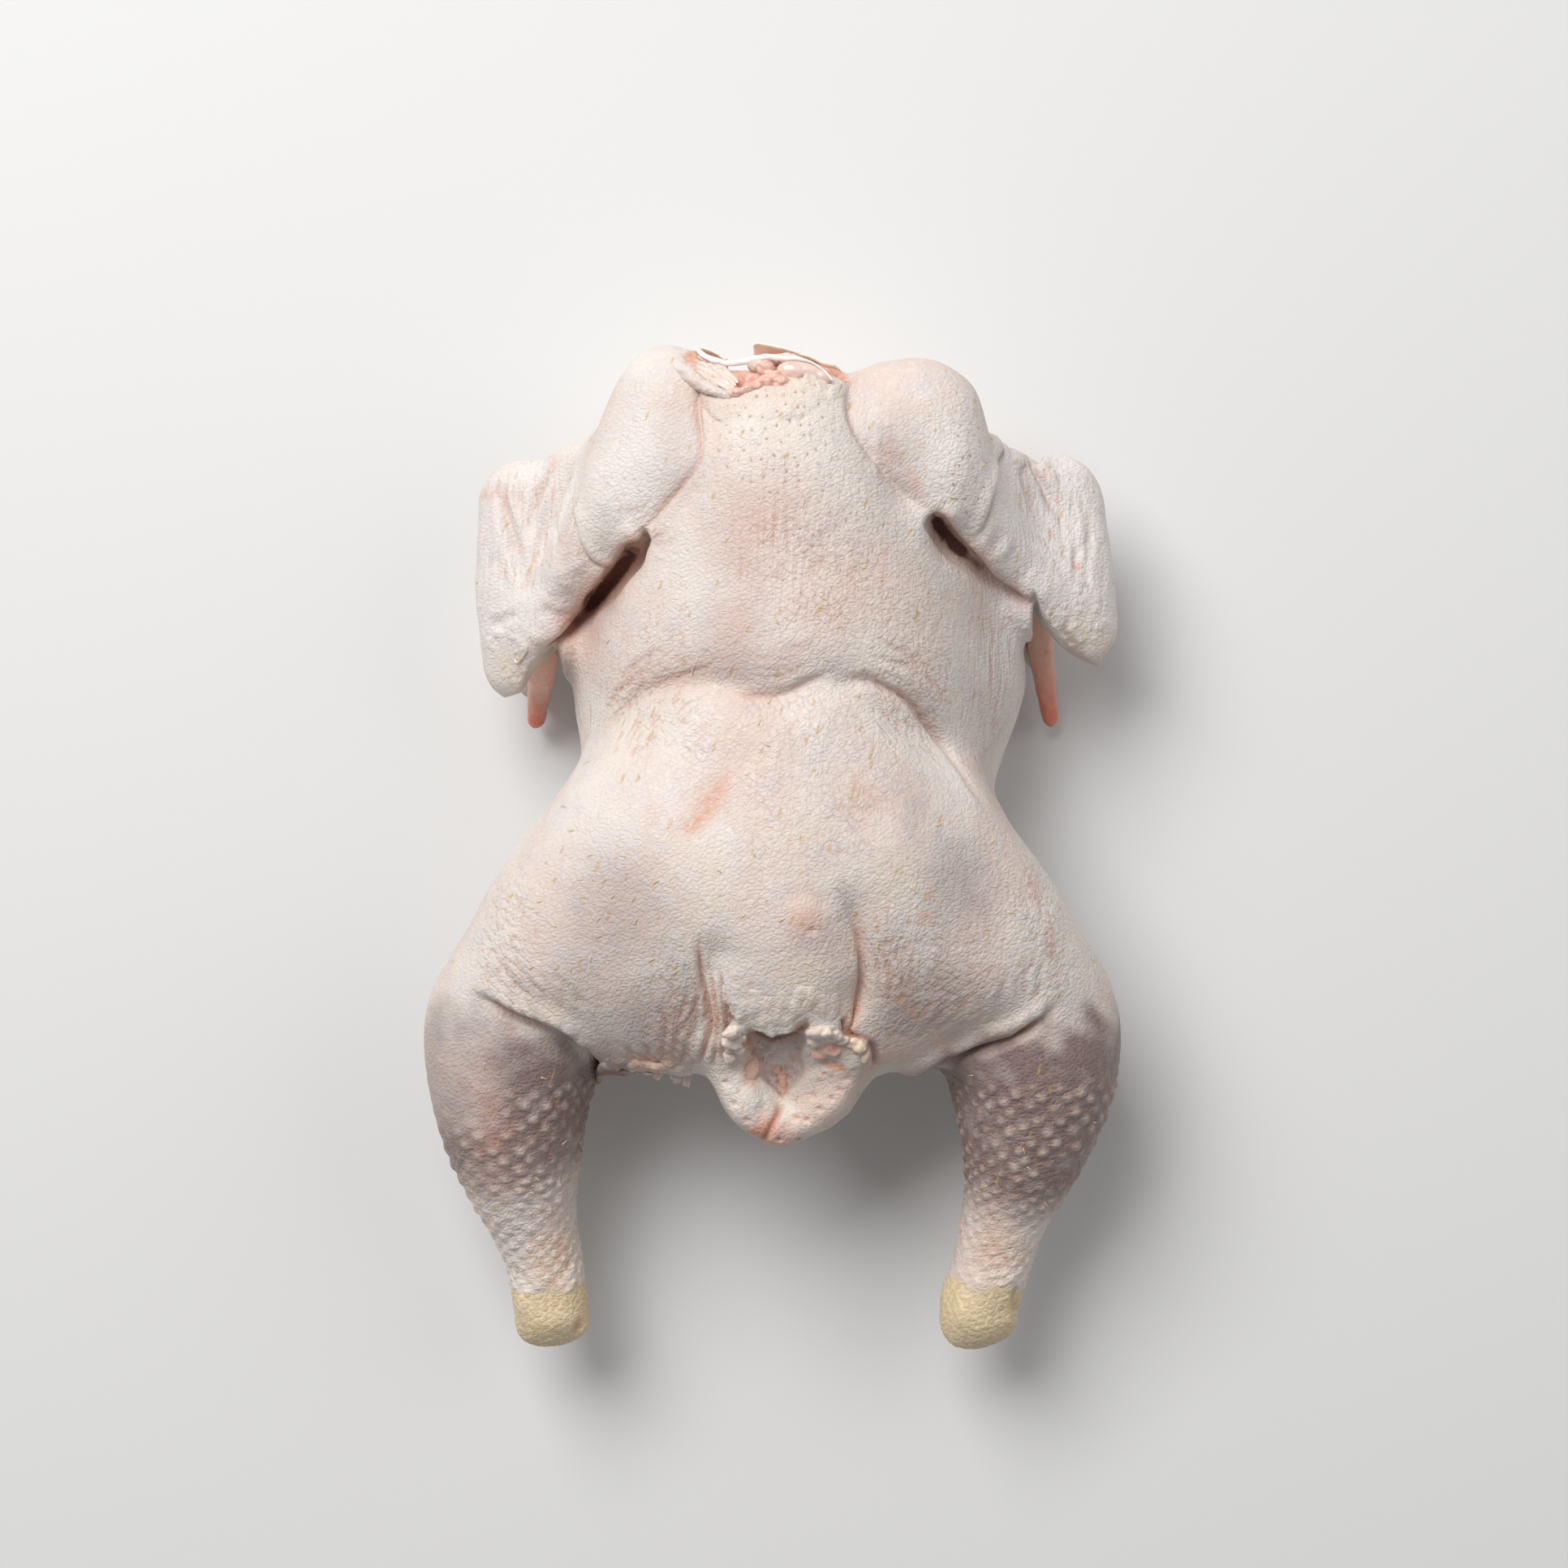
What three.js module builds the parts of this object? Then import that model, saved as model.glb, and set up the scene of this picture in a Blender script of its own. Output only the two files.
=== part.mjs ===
// A whole raw chicken, plucked and dressed, lying on its breast with its back up and its legs spread.
//
// Millimetres, +Z up. The neck points to +Y and the tail to -Y. The origin is on the surface that the
// bird lies on, under the middle of its length and width.
//
// The bird is one skin over many round muscles, so it is described as a field: each muscle is an ellipsoid
// or a limb with a distance to its surface, and the distances are joined with soft fillets, as skin
// stretches over flesh. Folds are then pressed into the field, and a net of triangles is laid on it.
import * as THREE from "three";

// ---------------------------------------------------------------------------------------------
// Driving dimensions
// ---------------------------------------------------------------------------------------------
const BACK_HEIGHT = 116; // the back above the surface
const BREAST_HALF_WIDTH = 73;
const BREAST_HALF_LENGTH = 95;
const BREAST_SHIFT = 7; // the bird lies rolled a little to its right, so the breast stands out at +X
const SKIN_FILLET = 22; // how softly skin bridges two muscles
const LEG_FILLET = 16;
const WING_FILLET = 8;
const TAIL_FILLET = 6;
const RUMP_FILLET = 12;
const NECK_LIP_FILLET = 8;
const CUT_FILLET = 5; // the rounded edges of a cut
const WING_WEB = 16; // thickness of the skin between the wing's bones

// Limbs are lists of stations, [x, y, z, radius], from the body outwards. side is +1 at +X, -1 at -X.
const SIDES = [
  {
    side: -1,
    thigh: [
      [-34, -6, 69, 42],
      [-60, -31, 62, 36.5],
      [-85, -57, 52, 25],
    ],
    drumstick: [
      [-86, -58, 52, 23],
      [-86, -77, 50, 26],
      [-83.5, -104, 46, 20],
      [-79, -123, 42, 14.5],
      [-75, -140, 39, 12.5],
      [-73, -153.5, 38, 13],
    ],
    shoulder: [
      [-32, 137, 76, 21],
      [-43, 112, 76, 20],
      [-56, 90, 68, 15],
    ],
    drumette: [
      [-54, 92, 68, 15],
      [-71, 72, 54, 13],
      [-83, 59, 42, 9.5],
    ],
    forearm: [
      [-85, 60, 42, 9.5],
      [-84, 84, 44, 14],
      [-84, 115, 42, 12.5],
    ],
    wingTip: [
      [-84, 108, 32, 9],
      [-84, 76, 18, 8],
      [-81, 56, 11, 6.5],
      [-80, 40, 8, 4.5],
    ],
  },
  {
    side: 1,
    thigh: [
      [40, -8, 72, 38.5],
      [63, -31, 63, 34.5],
      [85, -56, 52, 26],
    ],
    drumstick: [
      [85, -56, 52, 23],
      [85.5, -74, 50, 26.5],
      [83.5, -97, 47, 20.5],
      [78.5, -116, 43, 15],
      [73.5, -135, 40, 13],
      [68.5, -153.5, 38, 13.5],
    ],
    shoulder: [
      [46, 134, 77, 23],
      [52, 116, 77, 20],
      [64, 98, 68, 15],
    ],
    drumette: [
      [62, 99, 68, 15],
      [85, 82, 54, 13],
      [103, 69, 42, 10],
    ],
    forearm: [
      [103, 71, 42, 9.5],
      [99, 90, 44, 14],
      [96, 116, 42, 13],
    ],
    wingTip: [
      [98, 112, 32, 9],
      [91, 80, 18, 8],
      [88, 60, 11, 6.5],
      [92, 42, 8, 4.5],
    ],
  },
];

// ---------------------------------------------------------------------------------------------
// Distances to simple shapes, and ways to join them
// ---------------------------------------------------------------------------------------------
const point = ([x, y, z]) => new THREE.Vector3(x, y, z);

// A shape is a function from a point to its distance, which is negative inside.
function ellipsoid(centre, radii, turnDegrees = [0, 0, 0]) {
  const turn = new THREE.Euler(...turnDegrees.map(THREE.MathUtils.degToRad));
  const toLocal = new THREE.Matrix4()
    .compose(point(centre), new THREE.Quaternion().setFromEuler(turn), point([1, 1, 1]))
    .invert();
  const [a, b, c] = radii;
  const q = new THREE.Vector3();
  return (p) => {
    q.copy(p).applyMatrix4(toLocal);
    const near = Math.hypot(q.x / a, q.y / b, q.z / c);
    const slope = Math.hypot(q.x / (a * a), q.y / (b * b), q.z / (c * c));
    return slope < 1e-9 ? -Math.min(a, b, c) : (near * (near - 1)) / slope;
  };
}

// A limb along a smooth line through its stations.
function limb(stations) {
  const pieces = 8 * (stations.length - 1);
  const line = new THREE.CatmullRomCurve3(stations.map(([x, y, z]) => point([x, y, z]))).getPoints(pieces);
  const girths = stations.map(([, , , radius], i) => new THREE.Vector3(i, radius, 0));
  const radii = new THREE.CatmullRomCurve3(girths).getPoints(pieces).map((girth) => girth.y);
  const runs = line.slice(1).map((end, i) => end.clone().sub(line[i]));
  const q = new THREE.Vector3();
  return (p) => {
    let least = Infinity;
    runs.forEach((run, i) => {
      q.copy(p).sub(line[i]);
      const share = THREE.MathUtils.clamp(q.dot(run) / run.lengthSq(), 0, 1);
      const away = q.addScaledVector(run, -share).length();
      least = Math.min(least, away - THREE.MathUtils.lerp(radii[i], radii[i + 1], share));
    });
    return least;
  };
}

// A web of skin between three points, thickness thick.
function web(a, b, c, thick) {
  const triangle = new THREE.Triangle(point(a), point(b), point(c));
  const nearest = new THREE.Vector3();
  return (p) => triangle.closestPointToPoint(p, nearest).distanceTo(p) - thick / 2;
}

function softMin(a, b, fillet) {
  const overlap = Math.max(fillet - Math.abs(a - b), 0) / fillet;
  return Math.min(a, b) - (overlap * overlap * fillet) / 4;
}

// Joins shapes one after another with the same fillet.
function joined(fillet, ...shapes) {
  return (p) => shapes.reduce((least, shape) => softMin(least, shape(p), fillet), Infinity);
}

// Cuts one shape out of another, with rounded lips.
function carved(shape, hollow, lip) {
  return (p) => -softMin(-shape(p), hollow(p), lip);
}

// ---------------------------------------------------------------------------------------------
// The bird's parts
// ---------------------------------------------------------------------------------------------
function torso() {
  const breast = ellipsoid([BREAST_SHIFT, 60, 41], [BREAST_HALF_WIDTH, BREAST_HALF_LENGTH, 47]);
  const crop = ellipsoid([4, 118, 52], [58, 39, 44]);
  const back = ellipsoid([3, 66, 72], [54, 84, BACK_HEIGHT - 78]);
  const neckRoot = ellipsoid([3, 122, 82], [34, 30, 25]);
  const belly = ellipsoid([BREAST_SHIFT, -6, 58], [54, 54, 34]);
  const pelvis = ellipsoid([2, -14, 80], [50, 56, BACK_HEIGHT - 80]);
  return joined(SKIN_FILLET, breast, crop, back, neckRoot, belly, pelvis);
}

// The cut neck: a hollow under the back skin, the stump in it, and the breast skin as its lower lip.
function neckCut(shape) {
  const hollow = ellipsoid([5, 164, 86], [27, 17, 12]);
  const stump = ellipsoid([9, 148, 84], [15, 9, 8]);
  const lip = limb([
    [-24, 150, 70, 7],
    [-8, 154.5, 67, 7],
    [10, 154.5, 67, 7],
    [26, 147, 72, 7],
  ]);
  return joined(CUT_FILLET, carved(joined(NECK_LIP_FILLET, shape, lip), hollow, CUT_FILLET), stump);
}

// The skin that stretches from the tail to the drumsticks.
function rump({ side }) {
  return ellipsoid([3 + side * 31, -42, 66], [30, 31, 30], [0, 0, side * 12]);
}

function tail(shape) {
  const root = ellipsoid([4, -42, 82], [22, 27, 17]);
  const leftLobe = ellipsoid([-8, -74, 76], [11, 19, 11], [0, 0, 20]);
  const rightLobe = ellipsoid([19, -73, 76], [12, 20, 11], [0, 0, -30]);
  const tip = ellipsoid([3, -83, 73], [11, 13, 9]);
  const glandCut = ellipsoid([1, -69, 91], [11, 17, 7], [36, 0, 0]);
  const vent = ellipsoid([5, -76, 56], [15, 13, 8], [-20, 0, 0]);
  const whole = joined(TAIL_FILLET, joined(RUMP_FILLET, shape, root), leftLobe, rightLobe, tip);
  return carved(carved(whole, glandCut, CUT_FILLET), vent, CUT_FILLET);
}

function leg({ thigh, drumstick }) {
  return joined(LEG_FILLET, limb(thigh), limb(drumstick));
}

function wing({ shoulder, drumette, forearm, wingTip }) {
  const corners = [shoulder[0], drumette[2], forearm[2]].map(([x, y, z]) => [x, y, z]);
  const bones = [shoulder, drumette, forearm, wingTip].map(limb);
  return joined(WING_FILLET, ...bones, web(...corners, WING_WEB));
}

// Folds pressed into the back, as lines seen from above: points are [x, y] pairs.
const LINE_PIECES = 16;
const FOLD_FADE = 0.25; // the share of a fold over which each end runs out
function fold(points, depth, width) {
  const line = new THREE.CatmullRomCurve3(points.map(([x, y]) => point([x, y, 0]))).getPoints(LINE_PIECES);
  const run = new THREE.Line3();
  const nearest = new THREE.Vector3();
  const flatPoint = new THREE.Vector3();
  return (p) => {
    flatPoint.set(p.x, p.y, 0);
    let least = Infinity;
    let share = 0;
    for (let i = 0; i < LINE_PIECES; i += 1) {
      run.set(line[i], line[i + 1]);
      const along = run.closestPointToPointParameter(flatPoint, true);
      const away = run.at(along, nearest).distanceTo(flatPoint);
      if (away < least) {
        least = away;
        share = (i + along) / LINE_PIECES;
      }
    }
    const ends = THREE.MathUtils.smoothstep(0.5 - Math.abs(share - 0.5), 0, FOLD_FADE);
    return depth * ends * Math.exp(-((least / width) ** 2));
  };
}

const folds = [
  // between the loins and the thighs, across the waist
  fold([[-54, 30], [-38, 50], [-12, 52], [2, 46], [18, 53], [38, 44], [54, 32], [66, 22]], 4, 6),
  // between the shoulders and the neck
  fold([[-20, 152], [-21, 130], [-25, 113], [-42, 98]], 3, 6),
  fold([[24, 150], [27, 130], [35, 115], [53, 100]], 3, 6),
  // the armpits, between the folded wings and the flanks
  fold([[-41, 99], [-50, 89], [-61, 77], [-72, 66]], 6, 7),
  fold([[52, 105], [60, 96], [72, 86], [86, 76]], 6, 7),
  // beside the tail
  fold([[-14, -24], [-20, -43], [-19, -64]], 3.5, 5.5),
  fold([[22, -8], [27, -38], [25, -54]], 4.5, 5.5),
  // where the thighs lie over the drumsticks
  fold([[-92, -50], [-76, -55], [-66, -61], [-54, -69]], 4, 6),
  fold([[52, -66], [66, -60], [84, -53]], 4, 6),
];
const FOLD_FLOOR = [30, 58]; // folds run out between these heights
const FOLD_REACH = 20; // further than this from the skin the folds don't matter

const body = neckCut(tail(joined(RUMP_FILLET, torso(), ...SIDES.map(rump))));
const legs = SIDES.map(leg);
const wings = SIDES.map(wing);
function pressed(p) {
  const onBack = THREE.MathUtils.smoothstep(p.z, ...FOLD_FLOOR);
  return folds.reduce((sum, press) => sum + press(p) * onBack, 0);
}

function field(p) {
  const withLegs = legs.reduce((least, shape) => softMin(least, shape(p), LEG_FILLET), body(p));
  const whole = wings.reduce((least, shape) => softMin(least, shape(p), WING_FILLET), withLegs);
  return Math.abs(whole) > FOLD_REACH ? whole : whole + pressed(p);
}

// ---------------------------------------------------------------------------------------------
// A net of triangles laid on the field
// ---------------------------------------------------------------------------------------------
const GRID_STEP = 6.4;
const FINE_STEP = 5.4; // where the tail and the tips of the wings are
const FINE_BANDS = [[], [[-102, -50], [34, 60]], []];
const GRID_LOW = [-128, -176, -14];
const GRID_HIGH = [128, 176, 128];
const RELAX_PASSES = 10;
const RELAX_SHARE = 0.6; // how far a vertex goes to the middle of its neighbours in one pass
const DETAIL_SPOTS = [
  [5, 152, 82],
  [4, -74, 82],
];
const DETAIL_REACH = 24;
const DETAIL_PULL = 3;

function gridLines(axis) {
  const lines = [GRID_LOW[axis]];
  while (lines.at(-1) < GRID_HIGH[axis]) {
    const at = lines.at(-1);
    const fine = FINE_BANDS[axis].some(([low, high]) => at >= low && at < high);
    lines.push(at + (fine ? FINE_STEP : GRID_STEP));
  }
  return lines;
}

// The eight corners and twelve edges of a grid cell.
const CORNERS = [0, 1, 2, 3, 4, 5, 6, 7].map((i) => [i & 1, (i >> 1) & 1, (i >> 2) & 1]);
const EDGES = CORNERS.flatMap((a, i) =>
  CORNERS.map((b, j) => [i, j, a.reduce((sum, value, axis) => sum + Math.abs(value - b[axis]), 0)]),
).filter(([i, j, apart]) => i < j && apart === 1);

const AXIS_STEPS = [
  [1, 0, 0],
  [0, 1, 0],
  [0, 0, 1],
];
const FACE_CORNERS = [
  [0, 0],
  [1, 0],
  [1, 1],
  [0, 1],
];
const PINCH_FILL = -0.01;

// Where the four corners of a grid face are in and out by turns, two sheets of the net would share an edge,
// so one of the outer corners is taken in.
function fillPinches(values, [nx, ny, nz], indexOf) {
  let filled = false;
  for (let k = 0; k < nz - 1; k += 1)
    for (let j = 0; j < ny - 1; j += 1)
      for (let i = 0; i < nx - 1; i += 1)
        for (let axis = 0; axis < 3; axis += 1) {
          const [u, v] = [AXIS_STEPS[(axis + 1) % 3], AXIS_STEPS[(axis + 2) % 3]];
          const ring = FACE_CORNERS.map(([a, b]) =>
            indexOf(i + a * u[0] + b * v[0], j + a * u[1] + b * v[1], k + a * u[2] + b * v[2]),
          );
          const inside = ring.map((index) => values[index] < 0);
          if (inside[0] !== inside[2] || inside[1] !== inside[3] || inside[0] === inside[1]) continue;
          values[ring[inside[0] ? 1 : 0]] = PINCH_FILL;
          filled = true;
        }
  if (filled) fillPinches(values, [nx, ny, nz], indexOf);
}

function netOn(shape, detailAt) {
  const lines = [0, 1, 2].map(gridLines);
  const [nx, ny, nz] = lines.map((line) => line.length);
  const indexOf = (i, j, k) => (k * ny + j) * nx + i;
  const values = new Float64Array(nx * ny * nz);
  const p = new THREE.Vector3();
  for (let k = 0; k < nz; k += 1)
    for (let j = 0; j < ny; j += 1)
      for (let i = 0; i < nx; i += 1)
        values[indexOf(i, j, k)] = shape(p.set(lines[0][i], lines[1][j], lines[2][k]));
  fillPinches(values, [nx, ny, nz], indexOf);

  const gradient = new THREE.Vector3();
  const probe = new THREE.Vector3();
  const PROBE_STEP = 0.5;
  function settle(at) {
    // two Newton steps put the vertex on the surface
    for (let step = 0; step < 2; step += 1) {
      const here = shape(at);
      for (const axis of ["x", "y", "z"]) {
        probe.copy(at)[axis] += PROBE_STEP;
        gradient[axis] = (shape(probe) - here) / PROBE_STEP;
      }
      const move = THREE.MathUtils.clamp(here / Math.max(gradient.lengthSq(), 0.2), -2, 2);
      at.addScaledVector(gradient, -move);
    }
    at.z = Math.max(at.z, 0); // the breast lies flat on the surface
  }

  const vertices = [];
  const vertexOf = new Map();
  const cornerAt = (cell, corner) => cell.map((at, axis) => lines[axis][at + CORNERS[corner][axis]]);
  for (let k = 0; k < nz - 1; k += 1)
    for (let j = 0; j < ny - 1; j += 1)
      for (let i = 0; i < nx - 1; i += 1) {
        const inside = CORNERS.map(([a, b, c]) => values[indexOf(i + a, j + b, k + c)]);
        const sum = new THREE.Vector3();
        let crossings = 0;
        for (const [a, b] of EDGES) {
          if (inside[a] < 0 === inside[b] < 0) continue;
          const share = inside[a] / (inside[a] - inside[b]);
          const from = point(cornerAt([i, j, k], a));
          sum.add(from.lerp(point(cornerAt([i, j, k], b)), share));
          crossings += 1;
        }
        if (!crossings) continue;
        sum.divideScalar(crossings);
        settle(sum);
        vertexOf.set(indexOf(i, j, k), vertices.length);
        vertices.push(sum);
      }

  // Each grid edge that the surface crosses gives a quad between the four cells round it.
  const quads = [];
  for (let k = 1; k < nz - 1; k += 1)
    for (let j = 1; j < ny - 1; j += 1)
      for (let i = 1; i < nx - 1; i += 1)
        AXIS_STEPS.forEach(([di, dj, dk], axis) => {
          const low = values[indexOf(i, j, k)];
          const high = values[indexOf(i + di, j + dj, k + dk)];
          if (low < 0 === high < 0) return;
          const [u, v] = [AXIS_STEPS[(axis + 1) % 3], AXIS_STEPS[(axis + 2) % 3]];
          const cell = (a, b) =>
            vertexOf.get(indexOf(i - a * u[0] - b * v[0], j - a * u[1] - b * v[1], k - a * u[2] - b * v[2]));
          const ring = [cell(1, 1), cell(0, 1), cell(0, 0), cell(1, 0)];
          quads.push(low < 0 ? ring : ring.reverse());
        });

  // The net is evened out, and drawn closer where detailAt(p) is high: each vertex goes to the middle of
  // its neighbours, weighted by their detail, and back to the surface.
  for (let pass = 0; pass < RELAX_PASSES; pass += 1) {
    const pulls = vertices.map((vertex) => 1 + detailAt(vertex));
    const sums = vertices.map(() => new THREE.Vector3());
    const weights = vertices.map(() => 0);
    for (const quad of quads)
      quad.forEach((index, corner) => {
        for (const other of [quad[(corner + 1) % 4], quad[(corner + 3) % 4]]) {
          sums[index].addScaledVector(vertices[other], pulls[other]);
          weights[index] += pulls[other];
        }
      });
    vertices.forEach((vertex, index) => {
      vertex.lerp(sums[index].divideScalar(weights[index]), RELAX_SHARE);
      settle(vertex);
    });
  }

  // Each quad is split along the diagonal that lies closer to the surface.
  const halfway = new THREE.Vector3();
  const miss = (a, b) => Math.abs(shape(halfway.lerpVectors(vertices[a], vertices[b], 0.5)));
  const triangles = quads.flatMap(([a, b, c, d]) =>
    miss(a, c) < miss(b, d) ? [a, b, c, a, c, d] : [b, c, d, b, d, a],
  );
  const geometry = new THREE.BufferGeometry().setFromPoints(vertices).setIndex(triangles);
  geometry.computeVertexNormals();
  return geometry;
}

// ---------------------------------------------------------------------------------------------
// The solid
// ---------------------------------------------------------------------------------------------
// The net is drawn closer at the folds, the cut neck and the tail.
function detail(p) {
  const nearness = DETAIL_SPOTS.map((spot) => Math.exp(-((p.distanceTo(point(spot)) / DETAIL_REACH) ** 2)));
  return pressed(p) + DETAIL_PULL * Math.max(...nearness);
}

const geometry = netOn(field, detail);
geometry.computeBoundingBox();
const middle = geometry.boundingBox.getCenter(new THREE.Vector3());

const skin = new THREE.MeshStandardMaterial({ color: 0xe6cdbb, roughness: 0.45, metalness: 0 });
const chicken = new THREE.Mesh(geometry, skin);
chicken.name = "chicken";
chicken.position.set(-middle.x, -middle.y, 0);

const bird = new THREE.Group();
bird.add(chicken);
export default bird;
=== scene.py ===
# %% [markdown]
# # A whole raw chicken, lying on its breast
#
# The bird is plucked, dressed and still in its skin. It lies with its back up, its legs spread and its
# wings folded. A plain solid of the bird is loaded first, as a fixed frame. It has the right size and the
# right muscles, but no skin. This lesson lays a real skin over it: folds where limbs meet the body, wrinkles,
# goose pimples, cut edges and torn scraps, and then the colours of raw poultry.
#
# Places on the bird are given in millimetres in the frame of the solid: X to the bird's right, Y towards its
# neck and Z up. The origin is on the board under the middle of the bird.

import math

import bmesh
import bpy
import numpy as np
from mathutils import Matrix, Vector
from mathutils.bvhtree import BVHTree
from mathutils.kdtree import KDTree


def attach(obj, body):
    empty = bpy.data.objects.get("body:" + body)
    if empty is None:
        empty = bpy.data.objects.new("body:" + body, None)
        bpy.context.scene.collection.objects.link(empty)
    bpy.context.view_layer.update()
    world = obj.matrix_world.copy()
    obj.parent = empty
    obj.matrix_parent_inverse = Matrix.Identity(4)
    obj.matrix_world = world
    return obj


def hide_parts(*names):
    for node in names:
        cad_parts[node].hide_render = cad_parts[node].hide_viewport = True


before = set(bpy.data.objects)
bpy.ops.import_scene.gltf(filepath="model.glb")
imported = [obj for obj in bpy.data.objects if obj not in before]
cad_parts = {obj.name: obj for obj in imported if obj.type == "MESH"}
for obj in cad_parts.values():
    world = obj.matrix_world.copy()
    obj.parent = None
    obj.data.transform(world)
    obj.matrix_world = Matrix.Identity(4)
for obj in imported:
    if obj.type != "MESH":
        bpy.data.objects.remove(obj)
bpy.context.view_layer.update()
scene = bpy.context.scene
MM = 0.001

# %% [markdown]
# ## The view
#
# The bird is seen from straight above, as a cook sees it. A long lens from about a metre keeps the near back
# and the far hocks in the proportions that the eye expects. The lens follows from the width that the view
# has to cover at the board.

# %% Camera
VIEW_PLACE = Vector((0.0035, 0.0221, 1.1))
VIEW_WIDTH = 0.539  # metres of board from side to side of the square view
SENSOR = 36.0  # millimetres


def linked(name, data):
    """A new object in the scene."""
    thing = bpy.data.objects.new(name, data)
    scene.collection.objects.link(thing)
    return thing


camera = linked("camera", bpy.data.cameras.new("camera"))
camera.location = VIEW_PLACE
camera.data.sensor_width = SENSOR
camera.data.lens = SENSOR * VIEW_PLACE.z / VIEW_WIDTH
camera.data.clip_start = 0.01
scene.camera = camera
print("lens in mm:", round(camera.data.lens, 1))

# %% [markdown]
# ## Writing node sums as sums
#
# A skin shader is mostly arithmetic: a mask times a noise, one minus a mask. In Blender each step is a node.
# Joining dozens of nodes by hand is hard to read, so a small class wraps a node's output and overloads the
# operators. `1 - mask * 0.5` then adds the Math nodes by itself. Every other node comes from `Bench.node`,
# which works in shader trees and in Geometry Nodes trees alike.


# %% A wire with arithmetic
class Wire:
    """One output of a node. Arithmetic on it adds Math nodes to the same tree."""

    def __init__(self, bench, socket):
        self.bench = bench
        self.socket = socket

    def math(self, operation, *others):
        return self.bench.node("ShaderNodeMath", {"operation": operation}, dict(enumerate((self, *others))))

    def __add__(self, other):
        return self.math("ADD", other)

    __radd__ = __add__

    def __mul__(self, other):
        return self.math("MULTIPLY", other)

    __rmul__ = __mul__

    def __sub__(self, other):
        return self.math("SUBTRACT", other)

    def __rsub__(self, other):
        return self.bench.node("ShaderNodeMath", {"operation": "SUBTRACT"}, {0: other, 1: self})

    def clamped(self):
        return self.bench.node("ShaderNodeMath", {"operation": "ADD", "use_clamp": True}, {0: self, 1: 0.0})

    def most(self, other):
        return self.math("MAXIMUM", other)

    def rise(self, low, high):
        """0 below low, 1 above high and a soft S between."""
        soft = {"interpolation_type": "SMOOTHSTEP"}
        return self.bench.node("ShaderNodeMapRange", soft,
                               {"Value": self, "From Min": low, "From Max": high})


class Bench:
    """A node tree under way."""

    def __init__(self, tree):
        self.tree = tree

    def node(self, kind, settings=None, sockets=None, output=0):
        """Adds a node, sets it, and puts values or wires into its sockets. Gives the wire it puts out."""
        made = self.tree.nodes.new(kind)
        for name, value in (settings or {}).items():
            setattr(made, name, value)
        for name, value in (sockets or {}).items():
            if isinstance(value, Wire):
                self.tree.links.new(value.socket, made.inputs[name])
            else:
                made.inputs[name].default_value = value
        return Wire(self, made.outputs[output]) if len(made.outputs) else None

    def scaled(self, vector, by):
        return self.node("ShaderNodeVectorMath", {"operation": "SCALE"}, {0: vector, "Scale": by})


def shader_bench(block):
    """An empty shader tree on a material or a world."""
    block.use_nodes = True
    block.node_tree.nodes.clear()
    return Bench(block.node_tree)


# %% [markdown]
# ## Light and board
#
# A kitchen window gives one broad soft light, here from beyond the neck and to the bird's left. A white sheet
# on the other side sends a little of it back, and pale walls fill the shadows. Two large area lamps stand for
# the window and the sheet, and a pale world for the walls. The plain Standard view transform keeps the board
# nearly white without greying the skin.

# %% Window and walls
WINDOW_PLACE = Vector((-0.80, 1.22, 1.78))
WINDOW_SIZE = 1.4
WINDOW_POWER = 50.0
WALL_GLOW = 0.215
SHEET_PLACE = Vector((1.3, 0.6, 1.2))
SHEET_SIZE = 1.2
SHEET_POWER = 5.0
LAMP_COLOUR = (1.0, 0.99, 0.975)
LAMPS_LOOK_AT = Vector((0, 0, 0.05))


def soft_lamp(name, place, size, power):
    """A square area lamp that looks at the bird."""
    lamp = linked(name, bpy.data.lights.new(name, "AREA"))
    lamp.data.size = size
    lamp.data.energy = power
    lamp.data.color = LAMP_COLOUR
    lamp.location = place
    lamp.rotation_euler = (LAMPS_LOOK_AT - place).to_track_quat("-Z", "Y").to_euler()


soft_lamp("window", WINDOW_PLACE, WINDOW_SIZE, WINDOW_POWER)
soft_lamp("white_sheet", SHEET_PLACE, SHEET_SIZE, SHEET_POWER)
walls = bpy.data.worlds.new("walls")
scene.world = walls
wall_bench = shader_bench(walls)
glow = wall_bench.node("ShaderNodeBackground", sockets={"Color": (0.97, 0.985, 1.0, 1),
                                                        "Strength": WALL_GLOW})
wall_bench.node("ShaderNodeOutputWorld", sockets={"Surface": glow})
scene.view_settings.view_transform = "Standard"

# %% The board
BOARD_SIZE = 6.0


def board_material():
    """Plain pale stone."""
    stone = bpy.data.materials.new("board")
    bench = shader_bench(stone)
    sockets = {"Base Color": (0.80, 0.80, 0.80, 1), "Roughness": 0.55, "Specular IOR Level": 0.2}
    shader = bench.node("ShaderNodeBsdfPrincipled", sockets=sockets)
    bench.node("ShaderNodeOutputMaterial", sockets={"Surface": shader})
    return stone


half = BOARD_SIZE / 2
board_mesh = bpy.data.meshes.new("board")
board_corners = [(-half, -half, 0), (half, -half, 0), (half, half, 0), (-half, half, 0)]
board_mesh.from_pydata(board_corners, [], [(0, 1, 2, 3)])
board_mesh.materials.append(board_material())
linked("board", board_mesh)

# %% [markdown]
# ## The skin as clay
#
# A sculptor would start from the plain solid, give it more clay points than the eye can see and push folds
# into it. The same is done here by numbers. The solid's triangles become quads, Catmull-Clark subdivision
# rounds them three times over, and the points go into arrays. A few tools then push the points: a crease, a
# mound and a basin. Tools that take plain lists of places keep the bird easy to change.

# %% Points enough for a skin
SKIN_LEVELS = 3
QUAD_ANGLE = math.radians(60)  # the most that two triangles of one quad may differ


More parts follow.
